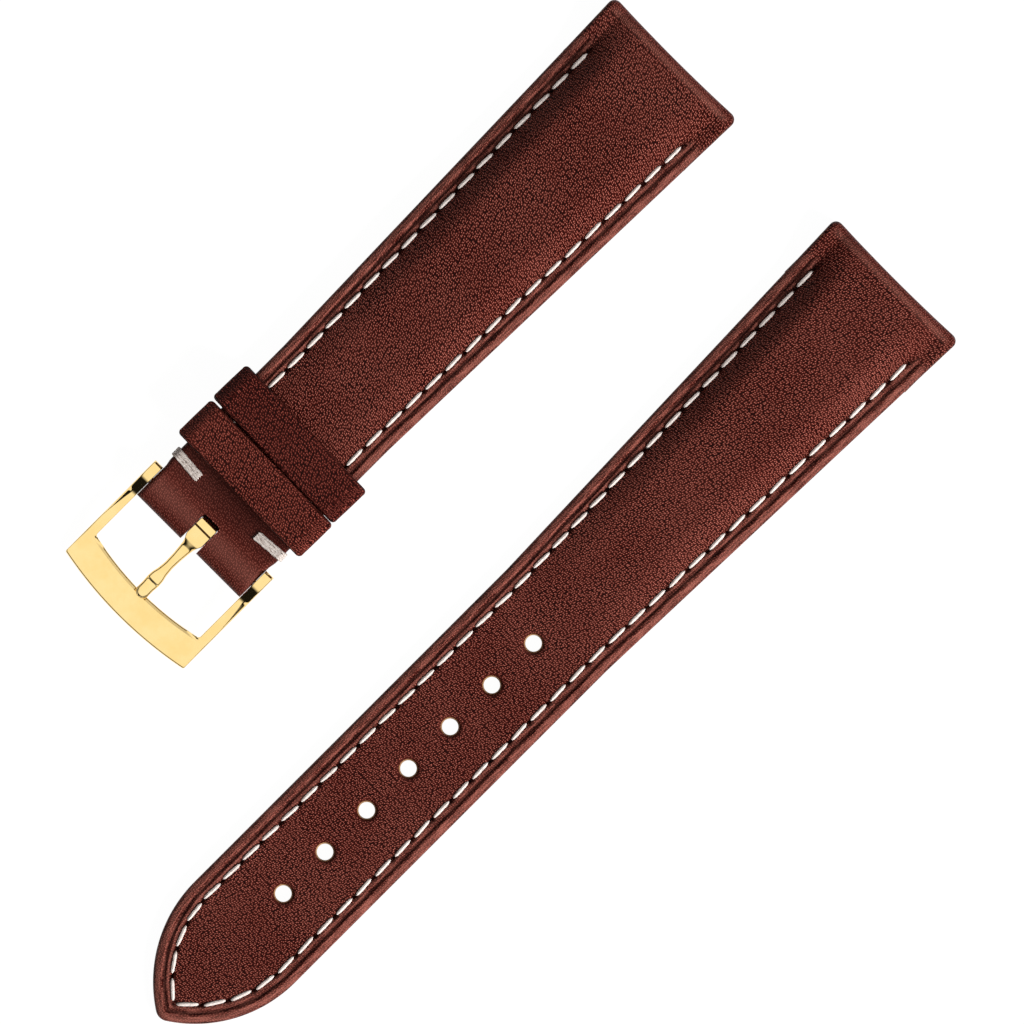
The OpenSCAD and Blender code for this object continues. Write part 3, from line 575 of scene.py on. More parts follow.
@dataclass(frozen=True)
class Polished:
    """Polished metal with the faint haze of wear."""

    name: str
    tone: tuple[int, int, int] = (251, 221, 155)
    tint: tuple[int, int, int] = (248, 214, 142)
    gloss: float = 0.1

    def material(self) -> Finish:
        """Builds the material: a clear reflection, with uneven gloss and hair-fine scratches."""
        s = Shade(self.name)
        cloud = s.noise(s.place, 1 / (2.6 * MM), 3.0, 0.6)
        scratch = s.noise(s.scaled(s.place, (1.0, 16.0, 6.0)), 1 / (1.1 * MM), 3.0, 0.6)
        s.lift(scratch, 0.0006)
        s.set(Base_Color=s.mix(s.span(cloud, 0.3, 0.7), colour(*self.tone), colour(*self.tint)))
        s.set(Metallic=1.0, Roughness=s.span(scratch, 0.3, 0.7, self.gloss - 0.02, self.gloss + 0.04))
        return s.material


@dataclass(frozen=True)
class Ground:
    """The plain white sheet that the strap lies on."""

    name: str
    shadow: float = 0.1
    glow: float = 1.08

    def material(self) -> Finish:
        """Builds the material: white to the camera and in reflections, with a light shadow."""
        s = Shade(self.name)
        s.set(Base_Color=(1.0, 1.0, 1.0, 1.0), Roughness=0.7)
        glow = s.node("ShaderNodeEmission", {"Color": (1.0, 1.0, 1.0, 1.0), "Strength": self.glow}).outputs[0]
        path = s.node("ShaderNodeLightPath").outputs
        seen = s.sum("MAXIMUM", path["Is Camera Ray"], path["Is Glossy Ray"])
        seen = s.times(s.sum("MAXIMUM", seen, path["Is Transmission Ray"]), 1.0 - self.shadow)
        blend = s.node("ShaderNodeMixShader", (seen, s.surface.outputs[0], glow))
        s.put(s.tree.nodes["Material Output"].inputs[0], blend.outputs[0])
        return s.material


class Finishes:
    """Every finish of the strap, made once."""

    def __init__(self) -> None:
        """Builds the materials."""
        self.face = GrainedLeather("calf_face", streaked=True).material()
        fixed = GrainedLeather("calf_fixed_keeper", (82, 29, 22), highlight_tone=(212, 116, 99), grain=0.215)
        free = GrainedLeather("calf_free_keeper", (66, 19, 14), highlight_tone=(184, 96, 82), grain=0.225)
        self.keepers = {"fixed_keeper": fixed.material(), "free_keeper": free.material()}
        self.cut = RawLeather("calf_cut_edge").material()
        self.lining = RawLeather("lining_leather", (176, 128, 88), (146, 102, 68), 0.22, 0.02).material()
        self.board = RawLeather("leatherboard", (196, 182, 156), (160, 144, 116), 0.16, 0.02).material()
        self.felt = RawLeather("padding_felt", (220, 206, 180), (186, 170, 142), 0.25, 0.05).material()
        self.loop = RawLeather("loop_leather", (150, 100, 66), (110, 70, 44), 0.2, 0.02).material()
        self.thread = Thread("linen_thread", (250, 238, 231)).material()
        self.tack = Thread("tack_thread", (230, 219, 211), (158, 141, 132), (1.0, 0.28, 1.0)).material()
        self.gold = Polished("gold_plate").material()
        self.steel = Polished("spring_steel", (205, 206, 208), (176, 178, 182), 0.22).material()
        # a dark gold for the walls of the tongue's seam: painted shade in the slit
        self.gap = Polished("gold_seam", (90, 62, 26), (60, 40, 16), 0.4).material()


# ---- the two halves ----


@dataclass(frozen=True)
class StrapSizes:
    """Sizes that both halves share, in millimetres."""

    tail_len: float = 115.0
    head_len: float = 76.0
    lug_w: float = 19.2
    tail_w: float = 15.7
    head_w: float = 16.3
    taper_len: float = 53.0
    tip_arc_r: float = 15.6
    tip_nose_r: float = 1.4
    hole_count: int = 7
    hole_pitch: float = 6.5
    hole_first: float = 19.3
    hole_r: float = 1.03
    hole_low_r: float = 0.91
    hole_patch: float = 1.6
    edge_t: float = 1.9
    lug_t: float = 4.3
    lug_edge_t: float = 3.65
    head_t: float = 2.4
    fold_t: float = 2.6
    eye_t: float = 3.2
    face_t: float = 0.8
    lining_t: float = 0.65
    stiffener_t: float = 0.42
    glue: float = 0.02
    edge_r: float = 0.6
    foot_r: float = 0.3
    bead_in: float = 0.8
    bead_h: float = 0.07
    crease_in: float = 1.22
    crease_h: float = 0.17
    stitch_in: float = 2.1
    groove_half: float = 0.4
    groove_h: float = 0.17
    stitch_pitch: float = 3.05
    dome_w: float = 3.6
    crown_h: float = 0.12
    bore_r: float = 0.9
    loop_r: float = 1.25
    bore_in: float = 2.2
    lug_dip: float = 0.2
    lug_dip_len: float = 1.5
    lug_corner_r: float = 0.9
    lug_roll_r: float = 0.9
    lug_rise_len: float = 9.0
    head_under: float = 1.1
    ramp_len: float = 32.0
    fold_reach: float = 2.17
    tail_y: float = -17.2972
    head_y: float = 17.2028
    barrel_r: float = 0.75

    @property
    def lug_x(self) -> float:
        """The lug ends."""
        return self.tail_len / 2

    @property
    def tip_x(self) -> float:
        """The tail's tip."""
        return -self.tail_len / 2

    @property
    def fold_x(self) -> float:
        """The buckle half's round end."""
        return self.lug_x - self.head_len

    @property
    def axis_x(self) -> float:
        """The spring bar."""
        return self.fold_x + self.fold_reach

    @property
    def axis_z(self) -> float:
        """The spring bar's height."""
        return self.head_under + self.eye_t / 2

    @property
    def layers_t(self) -> float:
        """Lining and stiffener together."""
        return self.lining_t + self.stiffener_t + self.glue

    @property
    def bore_at(self) -> tuple[float, float]:
        """The lug bore's place along X and its height."""
        return self.lug_x - self.bore_in, self.lining_t + self.glue + self.loop_r

    @property
    def shoulder_x(self) -> float:
        """Where the tip's side arcs begin."""
        across = (self.tip_arc_r - self.tip_nose_r) ** 2 - (self.tip_arc_r - self.tail_w / 2) ** 2
        return self.tip_x + self.tip_nose_r + math.sqrt(across)


class Half:
    """Where the surfaces of one half lie."""

    def __init__(self, sizes: StrapSizes, which: Which) -> None:
        """Keeps the sizes and works out the places along X.

        Args:
            sizes: The strap's sizes.
            which: The tail half or the buckle half.
        """
        z = self.z = sizes
        self.head = which is Which.HEAD
        self.name = which.value
        self.y = z.head_y if self.head else z.tail_y
        self.taper_x = z.lug_x - z.taper_len
        self.pad_x = z.lug_x - 55.5
        self.ramp_x = z.lug_x - 39.5
        self.flat_x, self.flat_len = z.axis_x + 10.8, 3.4
        self.swell_x = z.axis_x + 3.1
        self.narrow_x, self.narrow_len = z.axis_x + 2.3, 1.0
        self.fold_end_x = z.axis_x + 8.3
        self.fold_w = 15.98
        self.sew_x = z.lug_x - (6.3 if self.head else 5.7)
        self.sew_end_x = self.fold_end_x + 0.3 + z.stitch_pitch / 2 if self.head else z.shoulder_x
        turn = 0.0 if self.head else float(self.arc_turn(np.array(z.stitch_in)))
        self.sew_len = self.sew_x - self.sew_end_x + (z.tip_arc_r - z.stitch_in) * turn
        self.stitches = round(self.sew_len / z.stitch_pitch)
        self.pitch = self.sew_len / self.stitches
        count = 0 if self.head else z.hole_count
        self.hole_xs = [z.tip_x + z.hole_first + i * z.hole_pitch for i in range(count)]

    @property
    def bar(self) -> tuple[float, float]:
        """The spring bar's place along X and its height."""
        return self.z.axis_x, self.z.axis_z

    def rod(self, name: str, centre: tuple[float, float], r: float,
            reach: float = 11.0, sides: int = 64) -> Thing:
        """A round body across the half, to cut a bore with."""
        return prism(name, circle(centre, r, sides), self.y - reach, self.y + reach)

    def about_bar(self, name: str, sections: Array, finishes: list[Finish]) -> Thing:
        """A closed body of sections drawn about the spring bar."""
        skin = Skin()
        ids = skin.add(sections + np.array([self.z.axis_x, self.y, self.z.axis_z]))
        skin.grid(np.column_stack([ids, ids[:, :1]]))
        return piece(name, skin.mesh(name, finishes))

    def half_width(self, x: Array) -> Array:
        """Half the width at places along X."""
        z = self.z
        narrow = z.head_w if self.head else z.tail_w
        wide = (narrow + (z.lug_w - narrow) * clamp01((x - self.taper_x) / z.taper_len)) / 2
        if self.head:
            neck = smooth((self.narrow_x + self.narrow_len - x) / self.narrow_len)
            wide = wide - (z.head_w - self.fold_w) / 2 * neck
        return wide - drop(z.lug_corner_r, z.lug_x - x)

    def underside(self, x: Array) -> Array:
        """Height of the underside above the table."""
        if not self.head:
            return np.zeros_like(x)
        return self.z.head_under * (1 - smooth((x - self.ramp_x) / self.z.ramp_len))

    def crown(self, x: Array) -> Array:
        """Share of the padding's height."""
        return np.sin(np.pi / 2 * clamp01((x - self.pad_x) / (self.z.lug_x - self.pad_x)))

    def flat(self, x: Array) -> Array:
        """Share in which the leather lies flat, in the fold."""
        if not self.head:
            return np.zeros_like(x)
        return smooth((self.flat_x - x) / self.flat_len)

    def middle(self, x: Array) -> Array:
        """Thickness at the middle."""
        z = self.z
        thin = z.head_t if self.head else z.edge_t
        t = thin + (z.lug_t - thin) * self.crown(x) + (z.fold_t - thin) * self.flat(x)
        if self.head:
            t = t + (z.eye_t - z.fold_t) * smooth((self.swell_x - x) / (self.swell_x - z.axis_x))
        return t

    def rise(self, x: Array) -> Array:
        """Share of the sewn margin's rise at the lug end."""
        return smooth((x - self.z.lug_x + self.z.lug_rise_len) / self.z.lug_rise_len)

    def margin(self, x: Array) -> Array:
        """Thickness at the sewn margins."""
        z = self.z
        t = z.edge_t + (z.lug_edge_t - z.edge_t) * self.rise(x)
        return t + (self.middle(x) - z.edge_t) * self.flat(x)

    def eye(self, x: Array) -> Array:
        """How open a section is on its way into the round end of the fold."""
        z = self.z
        if not self.head:
            return np.ones_like(x)
        closed = np.sqrt(np.maximum(0.0, 1 - ((z.axis_x - x) / z.fold_reach) ** 2))
        return np.where(x < z.axis_x, closed, 1.0)

    def sewn(self, x: Array) -> Array:
        """Share of the crease and groove, which fade past the last stitch."""
        return (1 - self.flat(x)) * smooth((self.sew_x + 1.6 - x) / 1.5)

    def dome(self, d: Array) -> Array:
        """Share of the rise from the margin to the middle."""
        z = self.z
        return np.sin(np.pi / 2 * clamp01((d - z.stitch_in + z.groove_half / 2) / z.dome_w))

    def needle(self, s: Array, d: Array, long: float, wide: float) -> Array:
        """Share of the dimple that the needle and thread leave at each end of a stitch."""
        k = np.clip(np.round(s / self.pitch), 0, self.stitches)
        return np.exp(-(((s - k * self.pitch) / long) ** 2) - ((d - self.z.stitch_in) / wide) ** 2)

    def top(self, d: Array, share: Array, x: Array, s: Array) -> Array:
        """Height of the face above the underside.

        Args:
            d: Distance in from the edge.
            share: Share of the way on from the dome to the middle.
            x: Place along X.
            s: Length along the sewing line from its start at the lug end.

        Returns:
            The heights.
        """
        z = self.z
        rim, mid = self.margin(x), self.middle(x)
        sewn = self.sewn(x) * (1 - self.rise(x) / 3)
        pull = np.cos(2 * np.pi * s / self.pitch) * 0.5 + 0.5
        live = 1 - self.flat(x)
        h = rim - drop(z.edge_r, d)
        h = h + sewn * (z.bead_h * bump(d, z.bead_in, 0.35))
        h = h - sewn * z.crease_h * bump(d, z.crease_in, 0.34)
        h = h + sewn * 0.03 * bump(d, 1.5, 0.24)
        h = h - sewn * z.groove_h * bump(d, z.stitch_in, z.groove_half)
        h = h - sewn * 0.07 * pull * bump(d, z.stitch_in, 0.85)
        h = h - 0.3 * sewn * self.needle(s, d, 0.34, 0.2)
        h = h + (mid - rim) * self.dome(d)
        h = h + z.crown_h * self.crown(x) * (1 - (1 - share) ** 2)
        inward = z.lug_x - x
        roll = 0.1 * bump(inward, 1.1, 0.7) - 0.07 * bump(inward, 2.6, 1.2)
        h = h - drop(z.lug_roll_r, inward) + smooth(d / 1.5) * roll
        return h + 0.012 * live * ripple(x, d * 3, 7.0) * smooth(d / 1.5)

    def inner_top(self, d: Array, share: Array, x: Array) -> Array:
        """Height of the face leather's inner side above the underside."""
        z = self.z
        mid = self.middle(x)
        rim = z.edge_t + (mid - z.edge_t) * self.flat(x)
        h = rim - z.face_t + (mid - rim) * self.dome(d)
        h = h + z.crown_h * self.crown(x) * (1 - (1 - share) ** 2)
        return np.maximum(z.layers_t + z.glue, h)

    def arc_turn(self, d: Array) -> Array:
        """Turn of a side arc of the tip at a distance in from the edge."""
        z = self.z
        return np.arccos((z.tip_arc_r - z.tail_w / 2) / (z.tip_arc_r - np.maximum(d, z.tip_nose_r)))

    def side_arc(self, d: Array, share: Array) -> tuple[Array, Array]:
        """Place on a side arc of the tip, from the centre line at 0 to the shoulder at 1."""
        z = self.z
        turn, r = self.arc_turn(d) * (1 - share), z.tip_arc_r - d
        y = z.tail_w / 2 - z.tip_arc_r + r * np.cos(turn)
        return z.shoulder_x - r * np.sin(turn), np.where((share == 0) & (d >= z.tip_nose_r), 0.0, y)

    def plan(self, kind: Array, at: Array, d: Array) -> tuple[Array, Array]:
        """Place in plan of each row and distance from the edge.

        Args:
            kind: The rows' RowKind values.
            at: The rows' shares or places along X.
            d: Distances in from the edge.

        Returns:
            X and Y, with Y from the half's centre line.
        """
        z = self.z
        kind, at, d = np.broadcast_arrays(kind, at, d)
        x, y = at.astype(float).copy(), self.half_width(at) - d
        if self.head:
            return x, y
        sx, sy = self.side_arc(d, at)
        tx, ty = self.side_arc(d, np.zeros_like(at))
        turn = (math.pi / 2 - float(self.arc_turn(np.array(0.0)))) * at
        r = z.tip_nose_r - d
        nx = np.where(r <= 0, tx, z.tip_x + z.tip_nose_r - r * np.cos(turn))
        ny = np.where(r <= 0, ty, r * np.sin(turn))
        side, nose = kind == RowKind.SIDE, kind == RowKind.NOSE
        x, y = np.where(side, sx, x), np.where(side, sy, y)
        return np.where(nose, nx, x), np.where(nose, ny, y)

    def along(self, kind: Array, at: Array) -> Array:
        """Length along the sewing line at each row, from its start at the lug end."""
        z = self.z
        if self.head:
            return self.sew_x - at
        round_tip = (z.tip_arc_r - z.stitch_in) * float(self.arc_turn(np.array(z.stitch_in)))
        side = self.sew_x - z.shoulder_x + round_tip * (1 - at)
        s = np.where(kind == RowKind.SIDE, side, self.sew_x - at)
        return np.where(kind == RowKind.NOSE, self.sew_len + 0.5, s)

    def sew_point(self, s: Array) -> tuple[Array, Array]:
        """Place in plan on the sewing line, on the +Y side of the centre line."""
        z = self.z
        x = self.sew_x - s
        r = z.tip_arc_r - z.stitch_in
        turn = (s - (self.sew_x - self.sew_end_x)) / r
        on_arc = (turn > 0) & (not self.head)
        y = np.where(on_arc, z.tail_w / 2 - z.tip_arc_r + r * np.cos(turn), self.half_width(x) - z.stitch_in)
        return np.where(on_arc, z.shoulder_x - r * np.sin(turn), x), y


class FaceLeather:
    """The grained face leather of one half, turned round its edges, with its holes."""

    WALL_STEPS = 3
    ROW_STEP = 0.33
    # faces across the square patch that a hole opens in
    PATCH = 8
    # rings of a hole's rim: radius, share of the patch's square, lift, and painted shade that darkens the rim
    # towards the hole
    RIM = (
        (1.55, 0.62, 0.005, 0.0), (1.5, 0.3, 0.0, 0.02), (1.44, 0.0, -0.015, 0.05), (1.34, 0.0, -0.04, 0.1),
        (1.25, 0.0, -0.08, 0.18), (1.17, 0.0, -0.13, 0.28), (1.1, 0.0, -0.19, 0.42))
    # the tongue's slot: half its width, the end and corner radius of each part, and the height between them
    SLOT_HALF = 1.21
    SLOT_ENDS = (1.66, 0.3), (1.26, 0.2)
    SLOT_STEP = -1.05

    def __init__(self, half: Half, finishes: Finishes) -> None:
        """Sets the rows and columns of the mesh.

        Args:
            half: Where the surfaces lie.
            finishes: The materials.
        """
        self.half, self.finishes = half, finishes
        z = half.z
        kinds, ats = self._rows()
        self.kind = np.array(kinds)[:, None]
        self.at = np.array(ats, float)[:, None]
        quarter = np.linspace(0, math.pi / 2, 5)
        foot = [(z.foot_r * (1 - math.sin(a)), z.foot_r * (1 - math.cos(a))) for a in quarter]
        edge = z.edge_r * (1 - np.cos(np.linspace(0, math.pi / 2, 8)))
        near = np.arange(z.edge_r + 0.085, 2.95, 0.085)
        far = np.linspace(2.95, z.stitch_in - z.groove_half / 2 + z.dome_w, 11)
        self.ds = np.concatenate([edge, near, far])
        self.last_d = self.ds[-1]
        ys = np.array([2.0, 1.6, 1.2, 0.8, 0.4, 0.0]) / (z.tail_w / 2 - self.last_d)
        self.shares = 1 - ys
        self.foot = foot
        n_foot, n_wall = len(foot), self.WALL_STEPS
        last = np.full(len(ys), self.last_d)
        self.d = np.concatenate([[f[0] for f in foot], np.zeros(n_wall), self.ds, last])[None, :]
        self.share = np.concatenate([np.zeros(n_foot + n_wall + len(self.ds)), self.shares])[None, :]
        self.foot_z = np.concatenate([[f[1] for f in foot], np.zeros(self.d.shape[1] - n_foot)])[None, :]
        self.wall_t = np.concatenate([np.zeros(n_foot), np.arange(1, n_wall + 1) / (n_wall + 1)])
        self.n_wall = n_foot + n_wall

    def _rows(self) -> tuple[list[RowKind], list[float]]:
        """The rows of the outside, from the tip or the fold to the lug end."""
        half, z = self.half, self.half.z
        roll = [z.lug_x - z.lug_roll_r * (1 - math.sin(a)) for a in np.linspace(0, math.pi / 2, 13)]
        kinds: list[RowKind] = []
        ats: list[float] = []
        if half.head:
            fold = [z.axis_x - z.fold_reach * math.cos(a) for a in np.linspace(0, math.pi / 2, 15)[:-1]]
            fold += list(np.arange(z.axis_x, half.fold_end_x, 0.3)) + [half.fold_end_x]
            kinds += [RowKind.LOWER] * len(fold)
            ats += fold[::-1]
            body = list(np.arange(half.fold_end_x + 0.3, roll[0] - 0.1, self.ROW_STEP))
            xs = fold + body + roll
        else:
            nose, side = np.linspace(0, 1, 6), np.linspace(0, 1, 48)[1:-1]
            kinds += [RowKind.NOSE] * len(nose) + [RowKind.SIDE] * len(side)
            ats += list(nose) + list(side)
            stops = [z.shoulder_x]
            for x in half.hole_xs:
                stops += [x - z.hole_patch, x + z.hole_patch]
            xs = []
            for a, b in zip(stops, stops[1:]):
                patch = abs(b - a - 2 * z.hole_patch) < 1e-6
                steps = self.PATCH if patch else max(2, round((b - a) / self.ROW_STEP))
                xs += list(np.linspace(a, b, steps + 1))[:-1]
            xs += list(np.arange(stops[-1], roll[0] - 0.1, self.ROW_STEP)) + roll
        return kinds + [RowKind.ACROSS] * len(xs) + [RowKind.WALL], ats + xs + [z.lug_x]

    def _outer(self) -> tuple[Array, dict[str, Array]]:
        """Points of the outside on the +Y side, and their values."""
        half, z = self.half, self.half.z
        first_fold = half.head & (self.at == z.fold_x) & (self.kind == RowKind.ACROSS)
        foot = (self.kind > RowKind.ACROSS) | first_fold
        d = np.where(foot, np.maximum(self.d, z.foot_r), self.d)
        x, py = half.plan(self.kind, self.at, d)
        y = py * (1 - self.share)
        s = half.along(self.kind, self.at) + 0 * d
        top = half.top(self.d + 0 * x, self.share + 0 * x, x, s)
        wall_top = half.top(np.zeros_like(x), np.zeros_like(x), x, s)
        t = np.concatenate([self.wall_t, np.zeros(self.d.shape[1] - len(self.wall_t))])[None, :]
        n_foot = len(self.foot)
        col = np.arange(self.d.shape[1])[None, :]
        wall_h = z.foot_r + t * (wall_top - z.foot_r)
        h = np.where(col < n_foot, self.foot_z, np.where(col < self.n_wall, wall_h, top))
        h = np.where(foot, 0.0, h)
        eye = half.eye(x)
        h = z.eye_t / 2 * (1 - eye) + h * eye
        dip = z.lug_dip * (1 - (y / half.half_width(x)) ** 2) * clamp01(1 - (z.lug_x - x) / z.lug_dip_len)
        xyz = np.stack([x - dip, y, half.underside(x) + h], -1)
        sewn = half.sewn(x) * ~foot
        wall = (col < self.n_wall) | foot
        # painted shade darkens the stitch groove, the crease line, the needle dimples and the fold towards
        # the keepers; the walls and the outer edge are darker for their dye
        crease = 0.42 * bump(d, z.stitch_in, 0.42) * sewn + 0.7 * bump(d, z.crease_in, 0.36) * sewn
        crease = np.maximum(crease, half.needle(s, d, 0.36, 0.26) * sewn)
        crease = np.maximum(crease, 0.42 * half.flat(x) * smooth((x - z.axis_x - 1.2) / 2.4) * ~foot)
        crease = np.maximum(crease, np.where(wall, 0.35, 0.3 * (1 - smooth(self.d / 0.5))))
        margin = np.where(wall, 1.0, 1 - smooth((d - 1.5) / 0.5)) * np.maximum(sewn, np.where(wall, 0.6, 0.0))
        inward = z.lug_x - x
        calm = np.maximum(0.25 * margin, 0.55 * half.flat(x) + 0.5 * (1 - smooth(inward / 1.4)) + 0 * d)
        # painted highlight on the bead, the ridge beside the stitches, the fold over the spring bar and the
        # ridge at the lug end
        wear = 0.3 * bump(d, 0.5, 0.42) * sewn + 0.25 * bump(d, 1.7, 0.25) * sewn
        wear = np.maximum(wear, 0.22 * bump(x, z.axis_x + 0.2, 2.0) * half.flat(x))
        wear = np.maximum(wear, 0.36 * bump(inward, 1.0, 0.6) * smooth((d - 0.3) / 1.2)) * ~wall
        return xyz, {"crease": clamp01(crease), "margin": margin, "calm": calm, "wear": wear,
                     "wall": np.where(wall, 1.0, 0.0 * d), "lay_u": s * MM + 0 * d, "lay_v": d * MM + 0 * x}

    def _inner(self) -> Array:
        """Points of the inside on the +Y side."""
        half, z = self.half, self.half.z
        near, last = [z.face_t, 1.3, 1.9], np.full(len(self.shares), self.last_d)
        d = np.concatenate([near, np.linspace(2.8, self.last_d, 5), last])[None, :]
        share = np.concatenate([np.zeros(8), self.shares])[None, :]
        low = half.fold_end_x + 0.3 if half.head else -1e9
        x, y = half.plan(self.kind, self.at, d)
        bent = self.kind >= RowKind.ACROSS
        x = np.minimum(np.maximum(x, low), z.lug_x - z.face_t)
        y = np.where(bent, half.half_width(x) - d, y)
        h = np.where(self.kind > RowKind.ACROSS, 0.0, half.inner_top(d + 0 * x, share + 0 * x, x))
        col = np.arange(d.shape[1])[None, :]
        h = np.where(col == 0, 0.0, h)
        return np.stack([x, y * (1 - share), half.underside(x) + h], -1)

    def _hole(self, skin: Skin, outer: Array, inner: Array, at: float, row: int) -> None:
        """Opens one hole through the two grids, with a soft rim and a raw wall.

        Args:
            skin: The mesh in the making.
            outer: Point numbers of the outside.
            inner: Point numbers of the inside.
            at: The hole's place along X.
            row: The first row of the hole's square patch.
        """
        z = self.half.z
        pts = np.vstack(skin.points)
        loops = []
        for ids in (outer, inner):
            left = ids.shape[1] // 2 - self.PATCH // 2
            block = ids[row:row + self.PATCH + 1, left:left + self.PATCH + 1]
            loops.append(np.concatenate([block[0, :-1], block[:-1, -1], block[-1, :0:-1], block[:0:-1, 0]]))
        angle = np.arctan2(pts[loops[0], 1] - self.half.y, pts[loops[0], 0] - at)
        around = round_of(angle)
        square = [pts[loop] for loop in loops]

        def ring(r: float, square_share: float, height: Array, **values: float) -> Array:
            """One ring of points, a blend of the patch's square and a circle."""
            circle = np.array([at, self.half.y]) + r * around
            flat = square_share * square[0][:, :2] + (1 - square_share) * circle
            spots = np.column_stack([flat, height])
            return skin.add(spots, lay_u=flat[:, 0] * MM, lay_v=flat[:, 1] * MM, **values)

        top, low = square[0][:, 2], square[1][:, 2]
        last = loops[0]
        # each ring darkens with painted shade towards the hole
        for r, square_share, lift, crease in (*self.RIM, (z.hole_r + 0.02, 0.0, -0.26, 0.5)):
            now = ring(r, square_share, top + lift, crease=crease, calm=min(1.0, 2 * crease))
            skin.band(last, now, 0)
            last = now
        for t in (0.0, 0.35, 0.7, 1.0):
            r = z.hole_r + (z.hole_low_r - z.hole_r) * t
            now = ring(r, 0.0, (top - 0.3) * (1 - t) + low * t)
            skin.band(last, now, 1)
            last = now
        for r, square_share in ((1.15, 0.0), (1.4, 0.4)):
            now = ring(r, square_share, low)
            skin.band(last, now, 1)
            last = now
        skin.band(last, loops[1], 1)

    def build(self) -> Thing:
        """Makes the whole closed leather and cuts its bores.

        Returns:
            The finished piece.
        """
        half, z = self.half, self.half.z
        skin = Skin()
        side, values = self._outer()
        whole = both_sides(side) + np.array([0.0, half.y, 0.0])
        spread = {k: both_sides(v[..., None] + 0.0, False)[..., 0] for k, v in values.items()}
        outer = skin.add(whole, **spread)
        inner = skin.add(both_sides(self._inner()) + np.array([0.0, half.y, 0.0]))
        rows = len(outer)
        skips = [np.zeros((rows - 1, ids.shape[1] - 1), bool) for ids in (outer, inner)]
        starts = []
        across = self.kind[:, 0] == RowKind.ACROSS
        for x in half.hole_xs:
            first = across & (np.abs(self.at[:, 0] - (x - z.hole_patch)) < 1e-6)
            row = int(np.flatnonzero(first)[0])
            starts.append((x, row))
            for skip in skips:
                left = (skip.shape[1] + 1) // 2 - self.PATCH // 2
                skip[row:row + self.PATCH, left:left + self.PATCH] = True
        skin.grid(outer, 0, skips[0])
        skin.grid(inner, 1, skips[1])
        for x, row in starts:
            self._hole(skin, outer, inner, x, row)
        open_row = 0
        if half.head:
            lower = int((self.kind[:, 0] == RowKind.LOWER).sum())
            open_row = 2 * lower - 1
            skin.zip(outer[0], inner[0], 1)
        for c in (0, -1):
            skin.grid(np.stack([outer[open_row:, c], inner[open_row:, c]], 1), 0)
        skin.zip(outer[-1], inner[-1], 0)
        name = f"{half.name}_face"
        obj = piece(name, skin.mesh(name, [self.finishes.face, self.finishes.cut]))
        cutters = [half.rod(name + "_lug_room", z.bore_at, z.loop_r + 0.02, z.lug_w / 2 - z.lug_dip + 0.02),
                   half.rod(name + "_lug_bore", z.bore_at, z.bore_r + 0.02)]
        if half.head:
            cutters.append(half.rod(name + "_bar_bore", half.bar, z.barrel_r + 0.1))
            cutters += self._slot()
        done = carve(obj, cutters)
        give_map(done)
        return done

    def _slot(self) -> list[Thing]:
        """The room for the tongue in the fold: its closed end reaches less far under the collar."""
        z = self.half.z
        half_w, start, step = self.SLOT_HALF, z.fold_x - 1.0, z.axis_z + self.SLOT_STEP
        turn = np.linspace(0, math.pi / 2, 9)
        rooms = []
        levels = ("slot_over", step, 7.0), ("slot_under", -1.0, step + 0.03)
        for (end, r), (name, low, high) in zip(self.SLOT_ENDS, levels):
            corner = np.stack([z.axis_x + end - r + r * np.sin(turn), half_w - r + r * np.cos(turn)], -1)
            side = np.vstack([[[start, half_w]], corner])
            loop = np.vstack([side, side[::-1] * np.array([1, -1])]) + np.array([0.0, self.half.y])
            rooms.append(prism(name, loop, low, high, upright=True))
        return rooms


def give_map(obj: Thing) -> None:
    """Turns the lay values at the points into the piece's UV map, along and across the strap."""
    mesh = obj.data
    pair = []
    for key in ("lay_u", "lay_v"):
        found = np.zeros(len(mesh.vertices), np.float32)
        mesh.attributes[key].data.foreach_get("value", found)
        pair.append(found)
        mesh.attributes.remove(mesh.attributes[key])
    corner = np.zeros(len(mesh.loops), np.int64)
    mesh.loops.foreach_get("vertex_index", corner)
    layer = mesh.uv_layers.new(name="lay")
    layer.data.foreach_set("uv", np.stack(pair, -1)[corner].ravel())


# ---- what lies inside ----


